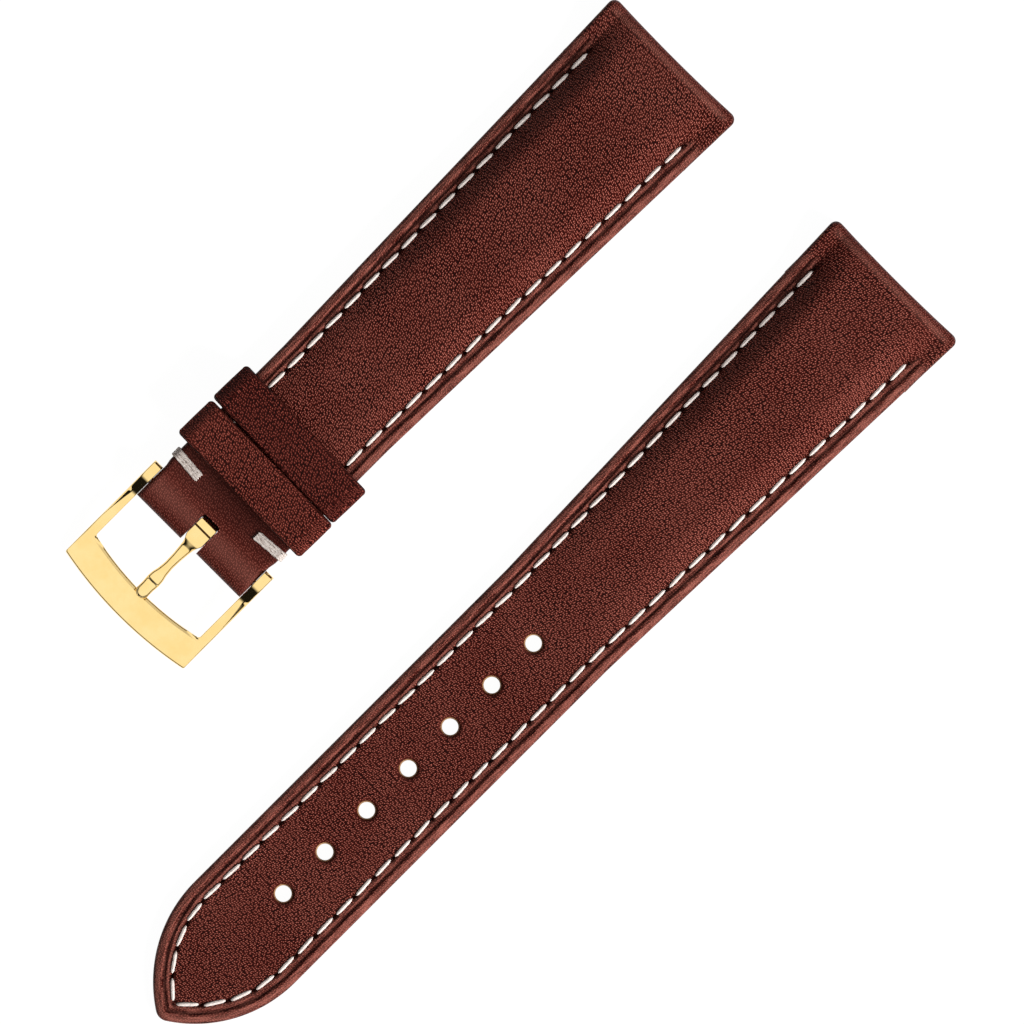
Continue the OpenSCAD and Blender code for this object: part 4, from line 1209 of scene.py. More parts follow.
class Layers:
    """What lies inside one half: lining, stiffener, padding and lug loop."""

    # how far in from the edge the layers end, and the channel of the sewing thread
    REACH = 0.82
    CHANNEL_HALF = 0.22
    CHANNEL_H = 0.3

    def __init__(self, half: Half, finishes: Finishes) -> None:
        """Keeps where the surfaces lie and the materials."""
        self.half, self.finishes = half, finishes
        z = half.z
        self.start_x = half.fold_end_x + 0.32
        self.end_x = z.lug_x - self.REACH
        self.last_d = z.stitch_in - z.groove_half / 2 + z.dome_w

    def _rows(self, x0: float, x1: float, step: float) -> tuple[Array, Array]:
        """Kinds and places of the rows, from the tip or from x0 to x1."""
        half, z = self.half, self.half.z
        first = x0 if half.head else z.shoulder_x
        xs = np.linspace(first, x1, round((x1 - first) / step) + 1)
        if half.head:
            return np.full((len(xs), 1), RowKind.ACROSS), xs[:, None]
        nose, side = np.linspace(0, 1, 5), np.linspace(0, 1, 40)[1:-1]
        kinds = [RowKind.NOSE] * len(nose) + [RowKind.SIDE] * len(side) + [RowKind.ACROSS] * len(xs)
        return np.array(kinds)[:, None], np.concatenate([nose, side, xs])[:, None]

    def _shell(self, name: str, top: Array, bottom: Array, finish: Finish) -> Thing:
        """A closed piece between two grids of points given on the +Y side."""
        skin = Skin()
        shift = np.array([0.0, self.half.y, 0.0])
        a, b = (skin.add(both_sides(side) + shift) for side in (top, bottom))
        for ids in (a, b):
            skin.grid(ids)
        for c in (0, -1):
            skin.grid(np.stack([a[:, c], b[:, c]], 1))
            skin.grid(np.stack([a[c], b[c]]))
        return piece(name, skin.mesh(name, [finish]))

    def _plate(self, name: str, low: float, high: float, end_x: float, channel: bool,
               finish: Finish) -> Thing:
        """A layer of even thickness that follows the underside.

        Args:
            name: The piece's name.
            low: Height of its underside above the half's own.
            high: Height of its top.
            end_x: Where it ends towards the lug.
            channel: Whether it has the channel for the sewing thread.
            finish: Its material.

        Returns:
            The piece, with the tail half's holes through it.
        """
        half, z = self.half, self.half.z
        sewn, c = z.stitch_in, self.CHANNEL_HALF
        near = [self.REACH, 0.9, sewn - c - 0.03, sewn - c, sewn + c, sewn + c + 0.03, 3.6]
        d = np.array(near + [self.last_d] * 4)[None, :]
        share = np.array([0.0] * 8 + [0.33, 0.66, 1.0])[None, :]
        kind, at = self._rows(self.start_x, end_x, 0.6)
        x, y = half.plan(kind, at, d)
        y = y * (1 - share)
        base = half.underside(x)
        in_channel = channel & (np.abs(d - sewn) < c + 0.01) & (x < half.sew_x + 0.8)
        if half.head:
            in_channel = in_channel & (x > half.sew_end_x - 0.8)
        sides = np.stack([x, y, base + low + np.where(in_channel, self.CHANNEL_H, 0.0)], -1)
        made = self._shell(name, np.stack([x, y, base + high], -1), sides, finish)
        if half.head:
            return made
        r = z.hole_low_r + 0.03
        holes = [prism(f"{name}_hole_{i}", circle((hx, half.y), r, 40), -1.0, 4.0, upright=True)
                 for i, hx in enumerate(half.hole_xs)]
        return carve(made, holes)

    def _padding(self) -> Thing:
        """The padding under the crown."""
        half, z = self.half, self.half.z
        start = half.flat_x + 0.3 if half.head else half.pad_x + 2.9
        end = z.bore_at[0] - z.loop_r - 0.3
        at = np.linspace(start, end, 60)[:, None]
        d = np.concatenate([np.linspace(2.69, self.last_d, 7), np.full(4, self.last_d)])[None, :]
        share = np.concatenate([np.zeros(7), [0.25, 0.5, 0.75, 1.0]])[None, :]
        x, y = half.plan(np.full_like(at, RowKind.ACROSS), at, d)
        base, floor = half.underside(x), z.layers_t + z.glue
        top = np.maximum(half.inner_top(d + 0 * x, share + 0 * x, x) - z.glue, floor + 0.02)
        grids = [np.stack([x, y * (1 - share), base + h + 0 * x], -1) for h in (top, floor)]
        made = self._shell(f"{half.name}_pad", grids[0], grids[1], self.finishes.felt)
        return made

    def _loop(self) -> Thing:
        """The rolled loop at the lug end, whose flat strip runs back between the layers."""
        half, z = self.half, self.half.z
        cx, cz = z.bore_at
        open_at = math.degrees(math.asin(-0.83 / z.loop_r)) % 360
        out = np.radians(np.arange(-90, open_at - 1, 6))
        back = np.radians(np.arange(open_at - 1, open_at - 359, -6))
        ring = [z.loop_r * round_of(out), z.bore_r * round_of(back)]
        mouth_x = z.loop_r * math.cos(math.radians(180 + 42.5))
        ends = np.array([[mouth_x, -0.845], [-6.0, -0.83], [-6.0, -z.loop_r]])
        loop = np.vstack(ring + [ends]) + np.array([cx, cz])
        reach = z.lug_w / 2 - z.lug_dip
        made = prism(f"{half.name}_loop", loop, half.y - reach, half.y + reach)
        made.data.materials.append(self.finishes.loop)
        return made

    def build(self) -> dict[str, Thing]:
        """Makes the layers.

        Returns:
            Each piece under the ending of its CAD node's name.
        """
        half, z = self.half, self.half.z
        name = half.name
        low, strip_end = z.lining_t + z.glue, z.bore_at[0] - 6.02
        return {
            "lining": self._plate(f"{name}_under", 0.0, z.lining_t, self.end_x, True, self.finishes.lining),
            "stiffener": self._plate(f"{name}_board", low, z.layers_t, strip_end, False, self.finishes.board),
            "padding": self._padding(),
            "lug_loop": self._loop(),
        }


# ---- sewing ----


class NodePlan(Nodes):
    """A geometry node tree while it is put together."""

    def __init__(self, name: str, **inputs: str) -> None:
        """Starts a tree.

        Args:
            name: The tree's name.
            **inputs: The kind of each named input after the geometry.
        """
        super().__init__(bpy.data.node_groups.new(name, "GeometryNodeTree"))
        face = self.tree.interface
        self.sockets: dict[str, str] = {}
        for key, kind in {"Geometry": "Geometry", **inputs}.items():
            made = face.new_socket(key, in_out="INPUT", socket_type="NodeSocket" + kind)
            self.sockets[key] = made.identifier
        face.new_socket("Geometry", in_out="OUTPUT", socket_type="NodeSocketGeometry")
        self.given = self.node("NodeGroupInput").outputs

    def feed(self, kind: str, output: int = 0, **values: object) -> Socket:
        """Adds a node, fills its inputs by name with _ for a space, and gives one output."""
        given = {key.replace("_", " "): value for key, value in values.items()}
        return self.node(kind, given).outputs[output]

    def chance(self) -> Socket:
        """A random number for each point, between plus and minus the input Jitter."""
        jitter = self.given["Jitter"]
        given = {2: self.times(jitter, -1.0), 3: jitter, "Seed": self.given["Seed"]}
        return self.node("FunctionNodeRandomValue", given, data_type="FLOAT").outputs[1]

    def close(self, geometry: Socket) -> None:
        """Makes the instances real and gives them their finish."""
        real = self.feed("GeometryNodeRealizeInstances", Geometry=geometry)
        done = self.feed("GeometryNodeSetMaterial", Geometry=real, Material=self.given["Finish"])
        self.node("NodeGroupOutput", (done,))

    def run(self, obj: Thing, name: str, **values: object) -> Thing:
        """Runs the tree on an object.

        Args:
            obj: The object, which is used up.
            name: The name of the plain piece that comes out.
            **values: The tree's inputs by name.

        Returns:
            The plain piece.
        """
        live = obj.modifiers.new(self.tree.name, "NODES")
        live.node_group = self.tree
        for key, value in values.items():
            live[self.sockets[key]] = value
        return plain(obj, name)


def stitch_plan() -> NodePlan:
    """Nodes that set a stitch on each point, along the point's own direction."""
    plan = NodePlan("set_stitches", Stitch="Object", Jitter="Float", Seed="Int", Finish="Material")
    given = plan.given
    along = plan.node("GeometryNodeInputNamedAttribute", {"Name": "along"}, data_type="FLOAT_VECTOR")
    turned = plan.node("FunctionNodeAlignRotationToVector", {"Vector": along.outputs[0]}, axis="X").outputs[0]
    extra = plan.feed("FunctionNodeEulerToRotation", Euler=plan.feed("ShaderNodeCombineXYZ", Z=plan.chance()))
    rotation = plan.node("FunctionNodeRotateRotation", (turned, extra), rotation_space="LOCAL").outputs[0]
    shape = plan.feed("GeometryNodeObjectInfo", 4, Object=given["Stitch"], As_Instance=True)
    points = given["Geometry"]
    plan.close(plan.feed("GeometryNodeInstanceOnPoints", Points=points, Instance=shape, Rotation=rotation))
    return plan


def strand_plan() -> NodePlan:
    """Nodes that lay strands side by side, each a little askew."""
    plan = NodePlan("lay_strands", Strand="Object", Count="Int", Pitch="Float", Jitter="Float", Seed="Int",
                    Finish="Material")
    given = plan.given
    step = plan.feed("ShaderNodeCombineXYZ", X=given["Pitch"])
    points = plan.feed("GeometryNodeMeshLine", Count=given["Count"], Offset=step)
    turned = plan.feed("ShaderNodeCombineXYZ", Z=plan.chance())
    shape = plan.feed("GeometryNodeObjectInfo", 4, Object=given["Strand"], As_Instance=True)
    plan.close(plan.feed("GeometryNodeInstanceOnPoints", Points=points, Instance=shape, Rotation=turned))
    return plan


def coil_plan() -> NodePlan:
    """Nodes that wind a wire into a coil."""
    plan = NodePlan("wind_coil", Turns="Float", Coil_Radius="Float", Length="Float", Wire_Radius="Float",
                    Finish="Material")
    given, r = plan.given, plan.given["Coil_Radius"]
    line = plan.feed("GeometryNodeCurveSpiral", Resolution=24, Rotations=given["Turns"], Start_Radius=r,
                     End_Radius=r, Height=given["Length"])
    wire = plan.feed("GeometryNodeCurvePrimitiveCircle", Resolution=10, Radius=given["Wire_Radius"])
    plan.close(plan.feed("GeometryNodeCurveToMesh", Curve=line, Profile_Curve=wire, Fill_Caps=True))
    return plan


def tube(name: str, path: Array, radii: Array, sides: int, twist: float = 0.0, lobes: float = 0.0) -> Thing:
    """A closed tube along a path, with two twisted plies if lobes is more than 0.

    Args:
        name: The object's name.
        path: Points in millimetres, in order.
        radii: The radius at each.
        sides: The number of sides.
        twist: Turn of the plies in radians a millimetre.
        lobes: Share by which the plies stand out.

    Returns:
        The object.
    """
    step = np.gradient(path, axis=0)
    step /= np.linalg.norm(step, axis=1, keepdims=True)
    run = run_of(path)
    up = np.array([0.0, 0.0, 1.0]) if abs(step[len(step) // 2][2]) < 0.9 else np.array([1.0, 0.0, 0.0])
    if np.ptp(path[:, 0]) < 1e-6:
        up = np.array([1.0, 0.0, 0.0])
    skin = Skin()
    turn = np.linspace(0, 2 * np.pi, sides + 1)[:-1]
    rings = []
    for p, t, r, s in zip(path, step, radii, run):
        side = np.cross(up, t)
        side /= np.linalg.norm(side)
        over = np.cross(t, side)
        reach = r * (1 + lobes * np.cos(2 * (turn - twist * s)))
        out = np.cos(turn)[:, None] * side + np.sin(turn)[:, None] * over
        rings.append(skin.add(p + reach[:, None] * out))
    for a, b in zip(rings, rings[1:]):
        skin.band(a, b)
    for end in (rings[0], rings[-1]):
        skin.face(tuple(int(i) for i in end))
    return piece(name, skin.mesh(name, []))


@dataclass
class Sewing:
    """The sewing of one half, on the face and on the lining."""

    half: Half
    finishes: Finishes
    face_r: float = 0.205
    lining_r: float = 0.12
    slant: float = 2.5
    lift: float = 0.02

    # room between stitches, and how far in from its needle holes a stitch is laid
    GAP = 0.7
    HOLE_IN = 0.4

    def _stitch(self, r: float, rings: int, sides: int) -> Thing:
        """One stitch along X, bowed so that its ends go down their holes."""
        length = self.half.pitch - self.GAP
        x = np.linspace(-0.5, 0.5, rings)
        u = np.clip((np.abs(x) - 0.36) / 0.14, 0, 1)
        path = np.stack([x * length, 0 * x, -r * 1.15 * u**1.6 + 0.02], -1)
        radii = r * (1.02 - 0.45 * u**2 + 0.05 * np.cos(2 * np.pi * x))
        return tube("stitch", path, radii, sides, twist=3.4, lobes=0.045)

    def _row(self, side: int, face: bool) -> tuple[Array, Array]:
        """Middles and directions of the stitches of one row.

        Args:
            side: 1 for the +Y row and -1 for the other.
            face: True on the face and False on the lining.

        Returns:
            Points and directions.
        """
        half, z = self.half, self.half.z
        k = np.arange(half.stitches)
        ends = []
        for shift in (self.HOLE_IN, half.pitch - self.HOLE_IN):
            s = k * half.pitch + shift
            x, y = half.sew_point(s)
            if face:
                d = z.stitch_in + self.face_r * np.array([-0.7, 0.0, 0.7])[:, None]
                flat = half.top(d, 0 * d, x + 0 * d, s + 0 * d) + 0 * x
                round_r = self.face_r * np.sqrt(np.array([0.51, 1.0, 0.51]))[:, None]
                h = (flat + round_r).max(0) + self.lift
            else:
                h = np.full_like(x, Layers.CHANNEL_H - 0.03 - self.lining_r)
            ends.append(np.stack([x, side * y, half.underside(x) + h], -1))
        middle, along = (ends[0] + ends[1]) / 2, ends[0] - ends[1]
        turn = -side * math.radians(self.slant if face else 0.0)
        x, y = along[:, 0].copy(), along[:, 1].copy()
        along[:, 0] = x * math.cos(turn) - y * math.sin(turn)
        along[:, 1] = x * math.sin(turn) + y * math.cos(turn)
        return middle + np.array([0.0, half.y, 0.0]), along

    def _rows(self, face: bool, plan: NodePlan, seed: int) -> Thing:
        """Both rows of stitches on the face or on the lining."""
        rows = [self._row(side, face) for side in (1, -1)]
        name = f"{self.half.name}_{'face' if face else 'under'}_stitches"
        mesh = bpy.data.meshes.new(name + "_places")
        mesh.from_pydata((np.vstack([r[0] for r in rows]) * MM).tolist(), [], [])
        layer = mesh.attributes.new("along", "FLOAT_VECTOR", "POINT")
        layer.data.foreach_set("vector", np.vstack([r[1] for r in rows]).ravel())
        shape = self._stitch(self.face_r, 12, 8) if face else self._stitch(self.lining_r, 7, 6)
        jitter = 0.03 if face else 0.01
        done = plan.run(piece(name + "_places", mesh), name, Stitch=shape, Jitter=jitter, Seed=seed,
                        Finish=self.finishes.thread)
        bpy.data.objects.remove(shape)
        return done

    def build(self, plan: NodePlan, seed: int) -> dict[str, Thing]:
        """Makes the sewing.

        Args:
            plan: The nodes that set the stitches.
            seed: What the small irregularities start from.

        Returns:
            Each piece under the ending of its CAD node's name.
        """
        face, under = self._rows(True, plan, seed), self._rows(False, plan, seed + 1)
        return {"face_thread": face, "lining_thread": under}


@dataclass
class BarTack:
    """The bundle of thread that holds the fold shut at one edge."""

    half: Half
    finishes: Finishes
    side: int
    at: float = 4.13
    inner: float = 3.7
    strand_r: float = 0.16
    strands: int = 4
    pitch: float = 0.26
    skew: float = 0.3

    def _strand(self) -> Thing:
        """One strand, over the face, round the edge and back along the underside."""
        z = self.half.z
        edge = z.head_w / 2
        low, high, r = z.head_under, z.head_under + z.fold_t, self.strand_r + 0.01
        points = [(edge - self.inner, high - 0.12), (edge - self.inner + 0.14, high + r)]
        points += [(y, high + r) for y in np.linspace(edge - self.inner + 0.45, edge - 0.65, 7)]
        for inset, level, turns in ((0.55, high - 0.55, (90, 0, 8)), (0.35, low + 0.35, (0, -90, 6))):
            reach = inset + r
            points += [(edge - inset + reach * math.cos(a), level + reach * math.sin(a))
                       for a in np.radians(np.linspace(*turns))]
        points += [(y, low - r) for y in np.linspace(edge - 0.6, edge - self.inner + 0.4, 6)]
        points.append((edge - self.inner, low + 0.1))
        mid = edge - self.inner / 2
        path = np.array([[self.skew * (y - mid) / self.inner, self.side * y, h] for y, h in points])
        radii = np.full(len(path), self.strand_r)
        radii[[0, -1]] *= 0.6
        return tube("strand", path, radii, 12, twist=2.6, lobes=0.2)

    def build(self, plan: NodePlan, name: str, seed: int) -> Thing:
        """Makes the bundle.

        Args:
            plan: The nodes that lay the strands.
            name: The piece's name.
            seed: What the small irregularities start from.

        Returns:
            The piece.
        """
        z = self.half.z
        strand = self._strand()
        done = plan.run(blank(name + "_place"), name, Strand=strand, Count=self.strands,
                        Pitch=self.pitch * MM, Jitter=0.006, Seed=seed, Finish=self.finishes.tack)
        bpy.data.objects.remove(strand)
        start = z.axis_x + self.at - self.pitch * (self.strands - 1) / 2
        lay(done, points_of(done), (start, self.half.y, 0.0))
        return done


def points_of(obj: Thing) -> Array:
    """A piece's points, in metres."""
    co = np.zeros(len(obj.data.vertices) * 3)
    obj.data.vertices.foreach_get("co", co)
    return co.reshape(-1, 3)


def lay(obj: Thing, points: Array, at: tuple[float, float, float]) -> None:
    """Gives a piece's points new places, in metres, about a spot in millimetres."""
    obj.data.vertices.foreach_set("co", (points + np.array(at) * MM).ravel())
    obj.data.update()


# ---- keepers ----


@dataclass
class Keeper:
    """A band of leather round the strap, with its lining."""

    half: Half
    finishes: Finishes
    name: str
    at: float
    turn: float = 0.0
    length: float = 5.2
    width: float = 19.3
    height: float = 6.9
    corner_r: float = 1.7
    leather_t: float = 0.65
    wall: float = 1.0
    top_round: float = 0.4
    side_round: float = 0.5

    # steps along the long and the short sides
    LONG, SHORT = 40, 14

    def _loop(self) -> tuple[Array, Array]:
        """The loop round the strap: places in Y and Z, and which way each of them faces."""
        half_w, half_h, r = self.width / 2, self.height / 2, self.corner_r
        spots, normals = [], []
        for cy, cz, start in ((1, 1, 0), (-1, 1, 90), (-1, -1, 180), (1, -1, 270)):
            corner = np.radians(start + np.linspace(0, 90, 13))
            n = round_of(corner)
            spots.append(np.array([cy * (half_w - r), cz * (half_h - r)]) + r * n)
            normals.append(n)
            ahead = np.array([-math.sin(corner[-1]), math.cos(corner[-1])])
            span, steps = (self.width, self.LONG) if start in (0, 180) else (self.height, self.SHORT)
            run = np.linspace(0, span - 2 * r, steps + 1)[1:-1, None]
            spots.append(spots[-1][-1] + ahead * run)
            normals.append(np.repeat(n[-1:], len(run), 0))
        return np.vstack(spots), np.vstack(normals)

    def _ring(self, name: str, x: Array, depth: Array, finish: Finish, **values: Array) -> Thing:
        """A closed ring: loop round the strap by section."""
        skin = Skin()
        spot, normal = self._loop()
        placed = spot[:, None, :] - normal[:, None, :] * depth[:, :, None]
        ids = skin.add(np.concatenate([x[..., None], placed], -1), **values)
        ids = np.vstack([ids, ids[:1]])
        skin.grid(np.column_stack([ids, ids[:, :1]]))
        made = piece(name, skin.mesh(name, [finish]))
        c, n = math.cos(math.radians(self.turn)), math.sin(math.radians(self.turn))
        flat = np.array([[c, -n, 0], [n, c, 0], [0, 0, 1]])
        lay(made, points_of(made) @ flat, (self.half.z.axis_x + self.at, self.half.y, self.height / 2))
        return made

    def build(self) -> dict[str, Thing]:
        """Makes the keeper.

        Returns:
            The leather and the lining, under the endings of their CAD nodes' names.
        """
        half_l = self.length / 2
        side = smooth(np.abs(self._loop()[1][:, :1]))
        e = self.top_round + (self.side_round - self.top_round) * side
        a = np.radians(np.linspace(0, 90, 9))[None, :]
        edge_x, edge_d = half_l - e + e * np.cos(a), np.minimum(e - e * np.sin(a), self.leather_t)
        mid = np.linspace(1, -1, 35)[None, 1:-1] * (half_l - e)
        bow = 0.03 * (mid / half_l) ** 2
        n = len(e)
        foot = np.full((n, 1), self.leather_t)
        x = np.hstack([half_l + 0 * foot, edge_x, mid, -edge_x[:, ::-1], -half_l + 0 * foot])
        depth = np.hstack([foot, edge_d, bow, edge_d[:, ::-1], foot])
        # painted shade darkens the keeper's rounded edges, more on the buckle side, and its end faces most
        lug_side_shade, buckle_side_shade = 0.35 * edge_d / self.top_round, 0.75 * edge_d[:, ::-1] / self.top_round
        dark = np.hstack([foot * 0 + 0.9, lug_side_shade, 0 * mid, buckle_side_shade, foot * 0 + 0.9])
        wall = clamp01(np.maximum(side + 0 * x, depth / self.leather_t))
        calf = self.finishes.keepers[self.name]
        leather = self._ring(self.name + "_band", x, depth, calf, crease=clamp01(dark), wall=wall)
        end, glued = half_l - 0.05, self.leather_t + 0.02
        inner_x = np.repeat(np.array([[end, end, -end, -end]]), n, 0)
        inner_d = np.repeat(np.array([[self.wall, glued, glued, self.wall]]), n, 0)
        lining = self._ring(self.name + "_inside", inner_x, inner_d, self.finishes.loop)
        return {"": leather, "_lining": lining}


# ---- the buckle ----


def bow_r(half: float, bow: float) -> float:
    """Radius of an arc that bows out by bow across half the width half."""
    return (half * half + bow * bow) / (2 * bow)


def soft_min(a: Array, b: Array, k: float) -> Array:
    """The lower of two heights, with their meeting rounded over about k."""
    h = np.maximum(k - np.abs(a - b), 0.0) / k
    return np.minimum(a, b) - h * h * k / 4


def soft_max(a: Array, b: Array, k: float) -> Array:
    """The higher of two heights, with their meeting rounded over about k."""
    return -soft_min(-a, -b, k)


def boxy(x: Array, r: float, power: float) -> Array:
    """Height of a round of radius r at places along X: a circle at a power of 2, squarer above it."""
    return r * (1 - clamp01(np.abs(x) / r) ** power) ** (1 / power)


@dataclass
class BuckleFrame:
    """The buckle's frame: two arms and a bowed, sloping front bar, drawn about the spring bar."""

    half: Half
    finishes: Finishes
    inner_w: float = 16.07
    outer_w: float = 18.4
    bar_in: float = 8.5
    bar_w: float = 3.66
    bow: float = 0.92
    tilt: float = 15.0
    boss_r: float = 1.6
    boss_back: float = 0.4
    arm_top: float = 0.05
    arm_under: float = 1.15
    arm_neck: float = 1.1
    bar_top: float = 0.6
    bar_under: float = 1.95
    pin_r: float = 0.45
    pin_depth: float = 0.85
    lip_w: float = 0.42
    lip_h: float = 0.41
    inner_corner: float = 0.35
    outer_corner: float = 0.25
    inner_round: float = 0.1
    outer_round: float = 0.2
    shoulder: float = 36.0
    bevel_w: float = 0.64
    bevel_slope: float = 0.82

    def _top(self, x: Array, y: Array) -> Array:
        """Height of the top at a place in plan."""
        out = x - self.boss_back
        boss = np.where(out > 0, boxy(out, self.boss_r, 5.0), boxy(out, self.boss_r, 2.0))
        fall = (self.arm_top + self.bar_top) / (self.bar_in + 0.3 - self.arm_neck)
        arm = np.where(x > 0, -9.0, self.arm_top + np.minimum(x + self.arm_neck, 0.0) * fall)
        turn = math.radians(self.shoulder)
        touch = self.boss_back - self.boss_r * math.sin(turn)
        slope = self.boss_r * math.cos(turn) + (x - touch) * math.tan(turn)
        top = np.where(x > touch, boss, soft_max(slope, arm, 0.25))
        r = bow_r(self.outer_w / 2, self.bow)
        centre = r - self.bar_in - self.bar_w - self.bow
        slope = math.tan(math.radians(self.tilt))
        cone = -self.bar_top - self.bar_w * slope + (r - np.hypot(x - centre, y)) * slope
        return np.where(x > -4.0, top, soft_min(top + 9 * smooth((-8.6 - x) / 0.4), cone, 0.1))

    def _bottom(self, x: Array) -> Array:
        """Height of the underside."""
        boss = -np.sqrt(np.maximum(self.boss_r**2 - (x - self.boss_back) ** 2, 0.0))
        under_x = self.bar_in - 0.3
        run = np.minimum(x + self.arm_neck, 0.0)
        arm = -self.arm_under + (self.bar_under - self.arm_under) * run / (under_x - self.arm_neck)
        table = -self.half.z.axis_z
        fall = (-table - self.bar_under) / (self.bar_in + self.bar_w - 0.5 - under_x)
        arm = np.where(x < -under_x, -self.bar_under + fall * (x + under_x), arm)
        return np.maximum(np.where(x > 0, boss, np.minimum(boss, arm)), table)

    def _pairs(self) -> tuple[Array, Array]:
        """Places of the inner and the outer edge on the +Y side, from the boss to the middle of the bar."""
        yi, yo = self.inner_w / 2, self.outer_w / 2
        turn = np.radians(np.linspace(0, 150, 44))
        straight = np.linspace(-1.2, -self.bar_in + self.inner_corner, 40)
        xs = np.concatenate([self.boss_back + self.boss_r * np.cos(turn), straight])
        arm_in, arm_out = (np.stack([xs, np.full_like(xs, y)], -1) for y in (yi, yo))
        ri, ro = bow_r(yi, self.bow), bow_r(yo, self.bow)
        far = self.bar_in + self.bar_w

        def bowed(r: float, start: float, y: Array) -> Array:
            """The bowed edge at places along Y."""
            return np.stack([r - start - self.bow - np.sqrt(r * r - y * y), y], -1)

        def corner(r: float, edge: float, y: float, start: float, steps: int) -> Array:
            """The rounded corner between an arm's edge and a bowed one."""
            a = np.radians(np.linspace(90, 178, steps))
            low = bowed(start, edge, np.array([y - r]))[0]
            return np.stack([low[0] + r + r * np.cos(a), y - r + r * np.sin(a)], -1)

        turned_in = corner(self.inner_corner, self.bar_in, yi, ri, 40)
        arc = corner(self.outer_corner, far, yo, ro, 60)
        lead = np.linspace(arm_out[-1], arc[0], 60)[1:-1]
        line = np.vstack([lead, arc])
        run = run_of(line)
        want = np.linspace(0, run[-1], 40)
        turned_out = np.stack([np.interp(want, run, line[:, k]) for k in (0, 1)], -1)
        share = np.linspace(1, 0, 44)[1:]
        bar_in = bowed(ri, self.bar_in, share * turned_in[-1, 1])
        bar_out = bowed(ro, far, share * turned_out[-1, 1])
        return np.vstack([arm_in, turned_in, bar_in]), np.vstack([arm_out, turned_out, bar_out])

    def build(self) -> Thing:
        """Makes the frame and bores its pin holes.

        Returns:
            The piece.
        """
        inner, outer = self._pairs()
        inner, outer = (np.vstack([e, e[-2::-1] * np.array([1, -1])]) for e in (inner, outer))
        width = np.linalg.norm(outer - inner, axis=1)[:, None]
        near = np.array([0, 0.015, 0.045, 0.09, 0.15, 0.25, 0.4, 0.42, 0.45, 0.48])
        far = np.array([0.5, 0.42, 0.34, 0.26, 0.18, 0.11, 0.07, 0.04, 0.015, 0.0])
        mid = np.linspace(0, 1, 6)[1:-1][None, :]
        inside = near[-1] + mid * (width - near[-1] - far[0])
        w = np.hstack([near[None, :] + 0 * width, inside, width - far[None, :]])
        spot = inner[:, None, :] + (outer - inner)[:, None, :] * (w / width)[..., None]
        x, y = spot[..., 0], spot[..., 1]
        top, bottom = self._top(x, y), self._bottom(x)
        thick = clamp01((top - bottom) / 1.2)
        on_bar = smooth((-8.52 - x) / 0.4)
        lip = self.lip_h * clamp01(1 - w / self.lip_w) * on_bar
        soft_in, soft_out = drop(self.inner_round, w), drop(self.outer_round, width - w)
        bevel_w = self.bevel_w * smooth((-1.9 - x) / 0.5) * (1 - clamp01((-1.9 - x) / 5.1))
        bevel = self.bevel_slope * np.maximum(bevel_w - (width - w), 0.0)
        top = top - thick * (lip + soft_in + soft_out + bevel)
        bottom = bottom + thick * (drop(self.inner_round, w) + drop(0.15, width - w))
        upper = np.stack([x, y, top], -1)
        lower = np.stack([x, y, bottom], -1)[:, ::-1]
        walls = [bridge(a, b, [0.25, 0.5, 0.75])
                 for a, b in ((upper[:, -1], lower[:, 0]), (lower[:, -1], upper[:, 0]))]
        section = np.concatenate([upper, walls[0], lower, walls[1]], 1)
        made = self.half.about_bar("buckle_body", section, [self.finishes.gold])
        reach = self.inner_w / 2 + self.pin_depth
        return carve(made, [self.half.rod("pin_bore", self.half.bar, self.pin_r, reach, 40)])


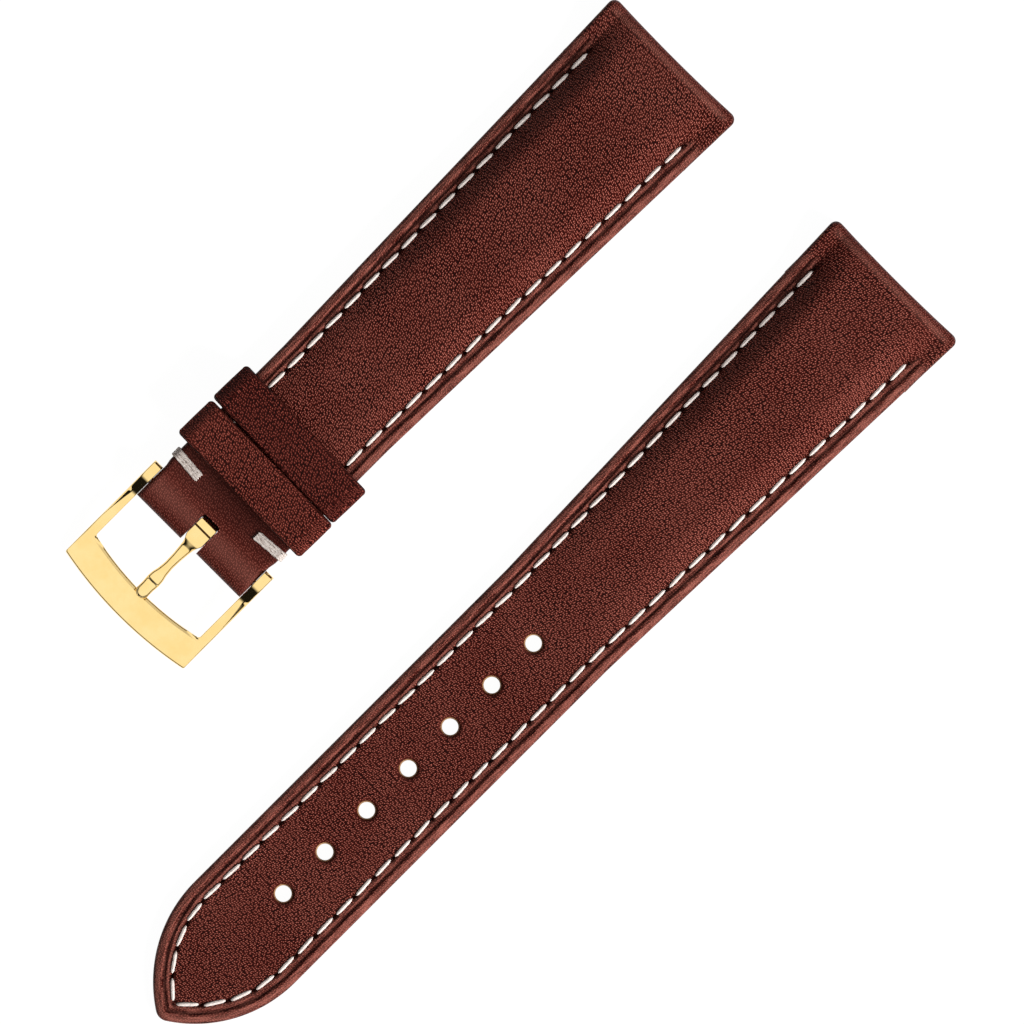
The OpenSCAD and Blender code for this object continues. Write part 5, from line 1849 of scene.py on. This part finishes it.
@dataclass
class Tongue:
    """The buckle's tongue: a collar rolled round the spring bar, and its shaft."""

    half: Half
    finishes: Finishes
    collar_r: float = 1.3
    back: float = 1.42
    length: float = 10.0
    bore_r: float = 0.8
    seam: float = 0.24
    seam_at: float = 0.13
    plan: tuple[tuple[float, float], ...] = (
        (1.43, 0.82), (1.36, 0.98), (1.24, 1.09), (1.06, 1.16), (0.8, 1.18), (-1.15, 1.18), (-1.4, 1.08),
        (-1.8, 0.88), (-2.2, 0.77), (-2.9, 0.69), (-4.0, 0.6), (-5.2, 0.565), (-6.2, 0.66), (-6.9, 0.82),
        (-7.5, 0.86), (-8.0, 0.84), (-8.4, 0.8), (-9.3, 0.8), (-10.0, 0.8))
    side: tuple[tuple[float, float], ...] = (
        (0.0, 1.3), (-0.5, 1.27), (-1.1, 1.17), (-1.7, 1.02), (-2.05, 0.86), (-2.5, 0.62), (-2.9, 0.6),
        (-4.0, 0.66), (-5.5, 0.66), (-7.0, 0.62), (-7.6, 0.6), (-7.8, 0.36), (-8.0, 0.43), (-8.6, 0.41),
        (-9.3, 0.35), (-9.75, 0.24), (-10.0, 0.05))
    under: tuple[tuple[float, float], ...] = (
        (-1.0, -0.75), (-1.6, -0.6), (-3.0, -0.35), (-5.0, -0.38), (-7.8, -0.48), (-9.4, -0.5),
        (-9.8, -0.42), (-10.0, -0.25))

    # half the length of the bore's cutter, the seam's depth and height over the bar, and the tip's radius
    REACH = 3.0
    SEAM_FLOOR, SEAM_ROOF = 0.95, 2.0
    TIP_R = 0.8

    @staticmethod
    def _line(x: Array, points: tuple[tuple[float, float], ...], blur: float) -> Array:
        """A line through points, rounded over blur."""
        p = np.array(points)[::-1]
        shifts = np.linspace(-1, 1, 9)
        weights = 1.1 - np.abs(shifts)
        got = sum(w * np.interp(x + s * blur, p[:, 0], p[:, 1]) for s, w in zip(shifts, weights))
        return got / weights.sum()

    def build(self) -> Thing:
        """Makes the tongue and bores it.

        Returns:
            The piece.
        """
        r = self.collar_r
        turn = np.radians(np.linspace(0, 90, 16))
        tip_r = self.TIP_R
        tip = -self.length + tip_r - tip_r * np.sin(np.radians(np.linspace(0, 90, 14)))
        straight = np.linspace(0, -self.length + tip_r, 110)[1:-1]
        xs = np.concatenate([self.back * np.cos(turn), straight, tip])[:, None]
        round_tip = np.sqrt(np.maximum(tip_r**2 - (xs + self.length - tip_r) ** 2, 0.0))
        half_w = np.where(xs < -self.length + tip_r, round_tip, self._line(xs, self.plan, 0.12))
        near = np.array([0, 0.02, 0.05, 0.09, 0.14, 0.2, 0.28, 0.38])[None, :]
        scale = clamp01(half_w / 0.8)
        rest = near[0, -1] * scale
        d = np.hstack([near * scale, rest + (half_w - rest) * np.array([[0.33, 0.66, 1.0]])])
        circle_z = r * boxy(xs / np.where(xs > 0, self.back, r), 1.0, 2.0)
        top = np.where(xs > 0, r * boxy(xs / self.back, 1.0, 4.0), self._line(xs, self.side, 0.1))
        on_shaft = smooth((-1.6 - xs) / 0.8)
        under = self._line(xs, self.under, 0.1)
        low = np.where(xs > -1.0, -circle_z, soft_min(-np.where(xs > -r, circle_z, 0.0), under, 0.1))
        low = np.where(xs < -2.0, under, low)
        thick = clamp01((top - low) / 0.8)
        edge = 0.08 + 0.2 * on_shaft
        fall = np.where(d < edge, edge - np.sqrt(np.maximum(edge**2 - (edge - d) ** 2, 0.0)), 0.0)
        crown = 0.21 * on_shaft * (1 - d / np.maximum(half_w, 1e-6)) ** 2
        upper = top - thick * (fall + crown)
        lower = low + thick * fall * 0.7
        y = half_w - d
        a = both_sides(np.stack([xs + 0 * d, y, upper], -1))
        b = both_sides(np.stack([xs + 0 * d, y, lower], -1))[:, ::-1]
        wall = [bridge(p, q, [0.33, 0.67]) for p, q in ((a[:, -1], b[:, 0]), (b[:, -1], a[:, 0]))]
        section = np.concatenate([a, wall[0], b, wall[1]], 1)
        made = self.half.about_bar("tongue_body", section, [self.finishes.gold, self.finishes.gap])
        x, z = self.half.bar
        bore = self.half.rod("tongue_bore", (x, z), self.bore_r, self.REACH)
        x0, x1 = x + self.seam_at - self.seam / 2, x + self.seam_at + self.seam / 2
        low, high = z + self.SEAM_FLOOR, z + self.SEAM_ROOF
        corners = np.array([[x0, low], [x1, low], [x1, high], [x0, high]])
        seam = prism("seam", corners, self.half.y - self.REACH, self.half.y + self.REACH)
        # the seam cutter's faces take the dark seam finish, painted shade in the slit
        seam.data.polygons.foreach_set("material_index", np.ones(len(seam.data.polygons), np.int32))
        return carve(made, [bore, seam])


# ---- the whole strap ----


class WatchStrap:
    """The whole strap, piece by piece on its frame."""

    # the spring lies between the plungers and leaves room for both of them pressed home
    ROOM, PRESS, TURNS = 9.68, 0.92, 11.0
    # what each small unevenness of the sewing starts from
    SEEDS = {Which.TAIL: 3, Which.HEAD: 7}
    TACK_SEED = 20
    # name, body, place from the spring bar and turn in degrees
    KEEPERS = ("fixed_keeper", "strap", 8.3, 1.0), ("free_keeper", "free_keeper", 13.65, 1.6)

    def __init__(self, frame: dict[str, object]) -> None:
        """Makes the finishes and the node plans.

        Args:
            frame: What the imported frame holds.
        """
        self.frame = frame
        self.sizes = StrapSizes()
        self.finishes = Finishes()
        self.stitching, self.strands, self.coil = stitch_plan(), strand_plan(), coil_plan()

    def seat(self, obj: Thing, body: str, slot: str, *nodes: str) -> None:
        """Lets a piece ride on a body in the place of CAD nodes."""
        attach(obj, body)
        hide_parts(*nodes)
        LOG.info("%s stands for %s on %s", obj.name, ", ".join(nodes), body)

    def build_half(self, which: Which) -> None:
        """Makes one half: its leathers, padding and sewing."""
        half = Half(self.sizes, which)
        name = which.value
        self.seat(FaceLeather(half, self.finishes).build(), "strap", "face_leather", f"{name}_face_leather")
        slots = {"lining": "lining_leather", "stiffener": "stiffener", "padding": "padding",
                 "lug_loop": "lining_leather"}
        for ending, obj in Layers(half, self.finishes).build().items():
            self.seat(obj, "strap", slots[ending], f"{name}_{ending}")
        for ending, obj in Sewing(half, self.finishes).build(self.stitching, self.SEEDS[which]).items():
            self.seat(obj, "strap", "thread", f"{name}_{ending}")

    def build_tacks(self, half: Half) -> None:
        """Makes the two bar tacks behind the buckle."""
        for side, name in ((1, "left"), (-1, "right")):
            tack = BarTack(half, self.finishes, side)
            obj = tack.build(self.strands, f"tack_{name}", self.TACK_SEED + side)
            self.seat(obj, "strap", "tack_thread", f"bar_tack_{name}")

    def build_keepers(self, half: Half) -> None:
        """Makes the fixed and the free keeper."""
        for name, body, at, turn in self.KEEPERS:
            made = Keeper(half, self.finishes, name, at, turn).build()
            self.seat(made[""], body, "face_leather", name)
            self.seat(made["_lining"], body, "lining_leather", name + "_lining")

    def build_spring(self, half: Half) -> None:
        """Winds the spring inside the spring bar and dresses the bar's other pieces."""
        z = self.sizes
        length = self.ROOM - 2 * self.PRESS
        coil = self.coil.run(blank("spring_place"), "bar_spring", Turns=self.TURNS, Coil_Radius=0.38 * MM,
                             Length=length * MM, Wire_Radius=0.11 * MM, Finish=self.finishes.steel)
        co = points_of(coil)
        turned = np.stack([co[:, 0], length / 2 * MM - co[:, 2], co[:, 1]], -1)
        lay(coil, turned, (z.axis_x, half.y, z.axis_z))
        close_up(coil.data)
        self.seat(coil, "strap", "spring_steel", "spring_bar_spring")
        for name in ("spring_bar_barrel", "spring_bar_plunger_left", "spring_bar_plunger_right"):
            node = self.frame["nodes"][name]
            node.data.materials.clear()
            node.data.materials.append(self.finishes.steel)

    def build(self) -> None:
        """Makes every piece."""
        for which in Which:
            self.build_half(which)
        half = Half(self.sizes, Which.HEAD)
        self.build_tacks(half)
        self.build_keepers(half)
        self.seat(BuckleFrame(half, self.finishes).build(), "buckle", "gold_plate", "buckle_frame")
        self.seat(Tongue(half, self.finishes).build(), "tongue", "gold_plate", "buckle_tongue")
        self.build_spring(half)


# ---- the studio ----


@dataclass(frozen=True)
class SoftBox:
    """A soft square light aimed at the strap, which no reflection shows."""

    name: str
    place: tuple[float, float, float]
    size: float
    power: float

    def hang(self) -> None:
        """Hangs the light."""
        lamp = bpy.data.lights.new(self.name, "AREA")
        lamp.shape, lamp.size, lamp.size_y = "RECTANGLE", self.size, self.size
        lamp.energy = self.power
        obj = piece(self.name, lamp)
        obj.location = self.place
        obj.rotation_euler = (-Vector(self.place)).to_track_quat("-Z", "Y").to_euler()
        obj.visible_camera = obj.visible_glossy = False


@dataclass
class Studio:
    """The white table, the light and the camera of the photograph."""

    centre: tuple[float, float] = (9.36, -5.38)
    distance: float = 3000.0
    span: float = 112.9
    turn: float = -45.0
    floor_w: float = 4.0
    key: SoftBox = SoftBox("key", (0.1, -0.82, 0.57), 0.5, 14.5)
    bright_side: tuple[float, float, float] = (0.2, -0.1, 1.0)
    room_share: float = 0.22

    def _floor(self) -> None:
        """Lays the white sheet."""
        h = self.floor_w / 2
        mesh = bpy.data.meshes.new("table")
        mesh.from_pydata([(-h, -h, 0), (h, -h, 0), (h, h, 0), (-h, h, 0)], [], [(0, 1, 2, 3)])
        mesh.materials.append(Ground("white_sheet").material())
        obj = piece("table", mesh)
        obj.location.z = -0.02 * MM

    def _world(self) -> None:
        """Makes the room: pale overhead and dark low down, and fuller in reflections than as a light."""
        world = bpy.data.worlds.new("room")
        world.use_nodes = True
        s = Nodes(world.node_tree)
        place = s.node("ShaderNodeTexCoord").outputs["Generated"]
        up = s.node("ShaderNodeVectorMath", (place, self.bright_side), operation="DOT_PRODUCT")
        ramp = s.span(up.outputs["Value"], 0.2, 0.7, 0.01, 1.1)
        glossy = s.node("ShaderNodeLightPath").outputs["Is Glossy Ray"]
        share = s.node("ShaderNodeMapRange", {0: glossy, 3: self.room_share}).outputs[0]
        back = s.tree.nodes["Background"].inputs
        s.put(back["Strength"], s.times(ramp, share))
        back["Color"].default_value = (1.0, 1.0, 1.0, 1.0)
        bpy.context.scene.world = world

    def _camera(self) -> None:
        """Sets the camera straight above the strap, turned by 45 degrees."""
        eye = bpy.data.cameras.new("camera")
        eye.sensor_width = 36.0
        eye.lens = 36.0 * self.distance / self.span
        eye.clip_start, eye.clip_end = 0.01, 10.0
        obj = piece("camera", eye)
        obj.location = (self.centre[0] * MM, self.centre[1] * MM, self.distance * MM)
        obj.rotation_euler = (0.0, 0.0, math.radians(self.turn))
        bpy.context.scene.camera = obj

    def build(self) -> None:
        """Sets up the whole studio."""
        self._floor()
        self._world()
        self.key.hang()
        self._camera()
        bpy.context.scene.view_settings.view_transform = "Standard"


def main() -> None:
    """Dresses the frame and sets the studio."""
    logging.basicConfig(level=logging.INFO, format="%(name)s: %(message)s")
    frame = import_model()
    WatchStrap(frame).build()
    Studio().build()


if __name__ == "__main__":
    main()
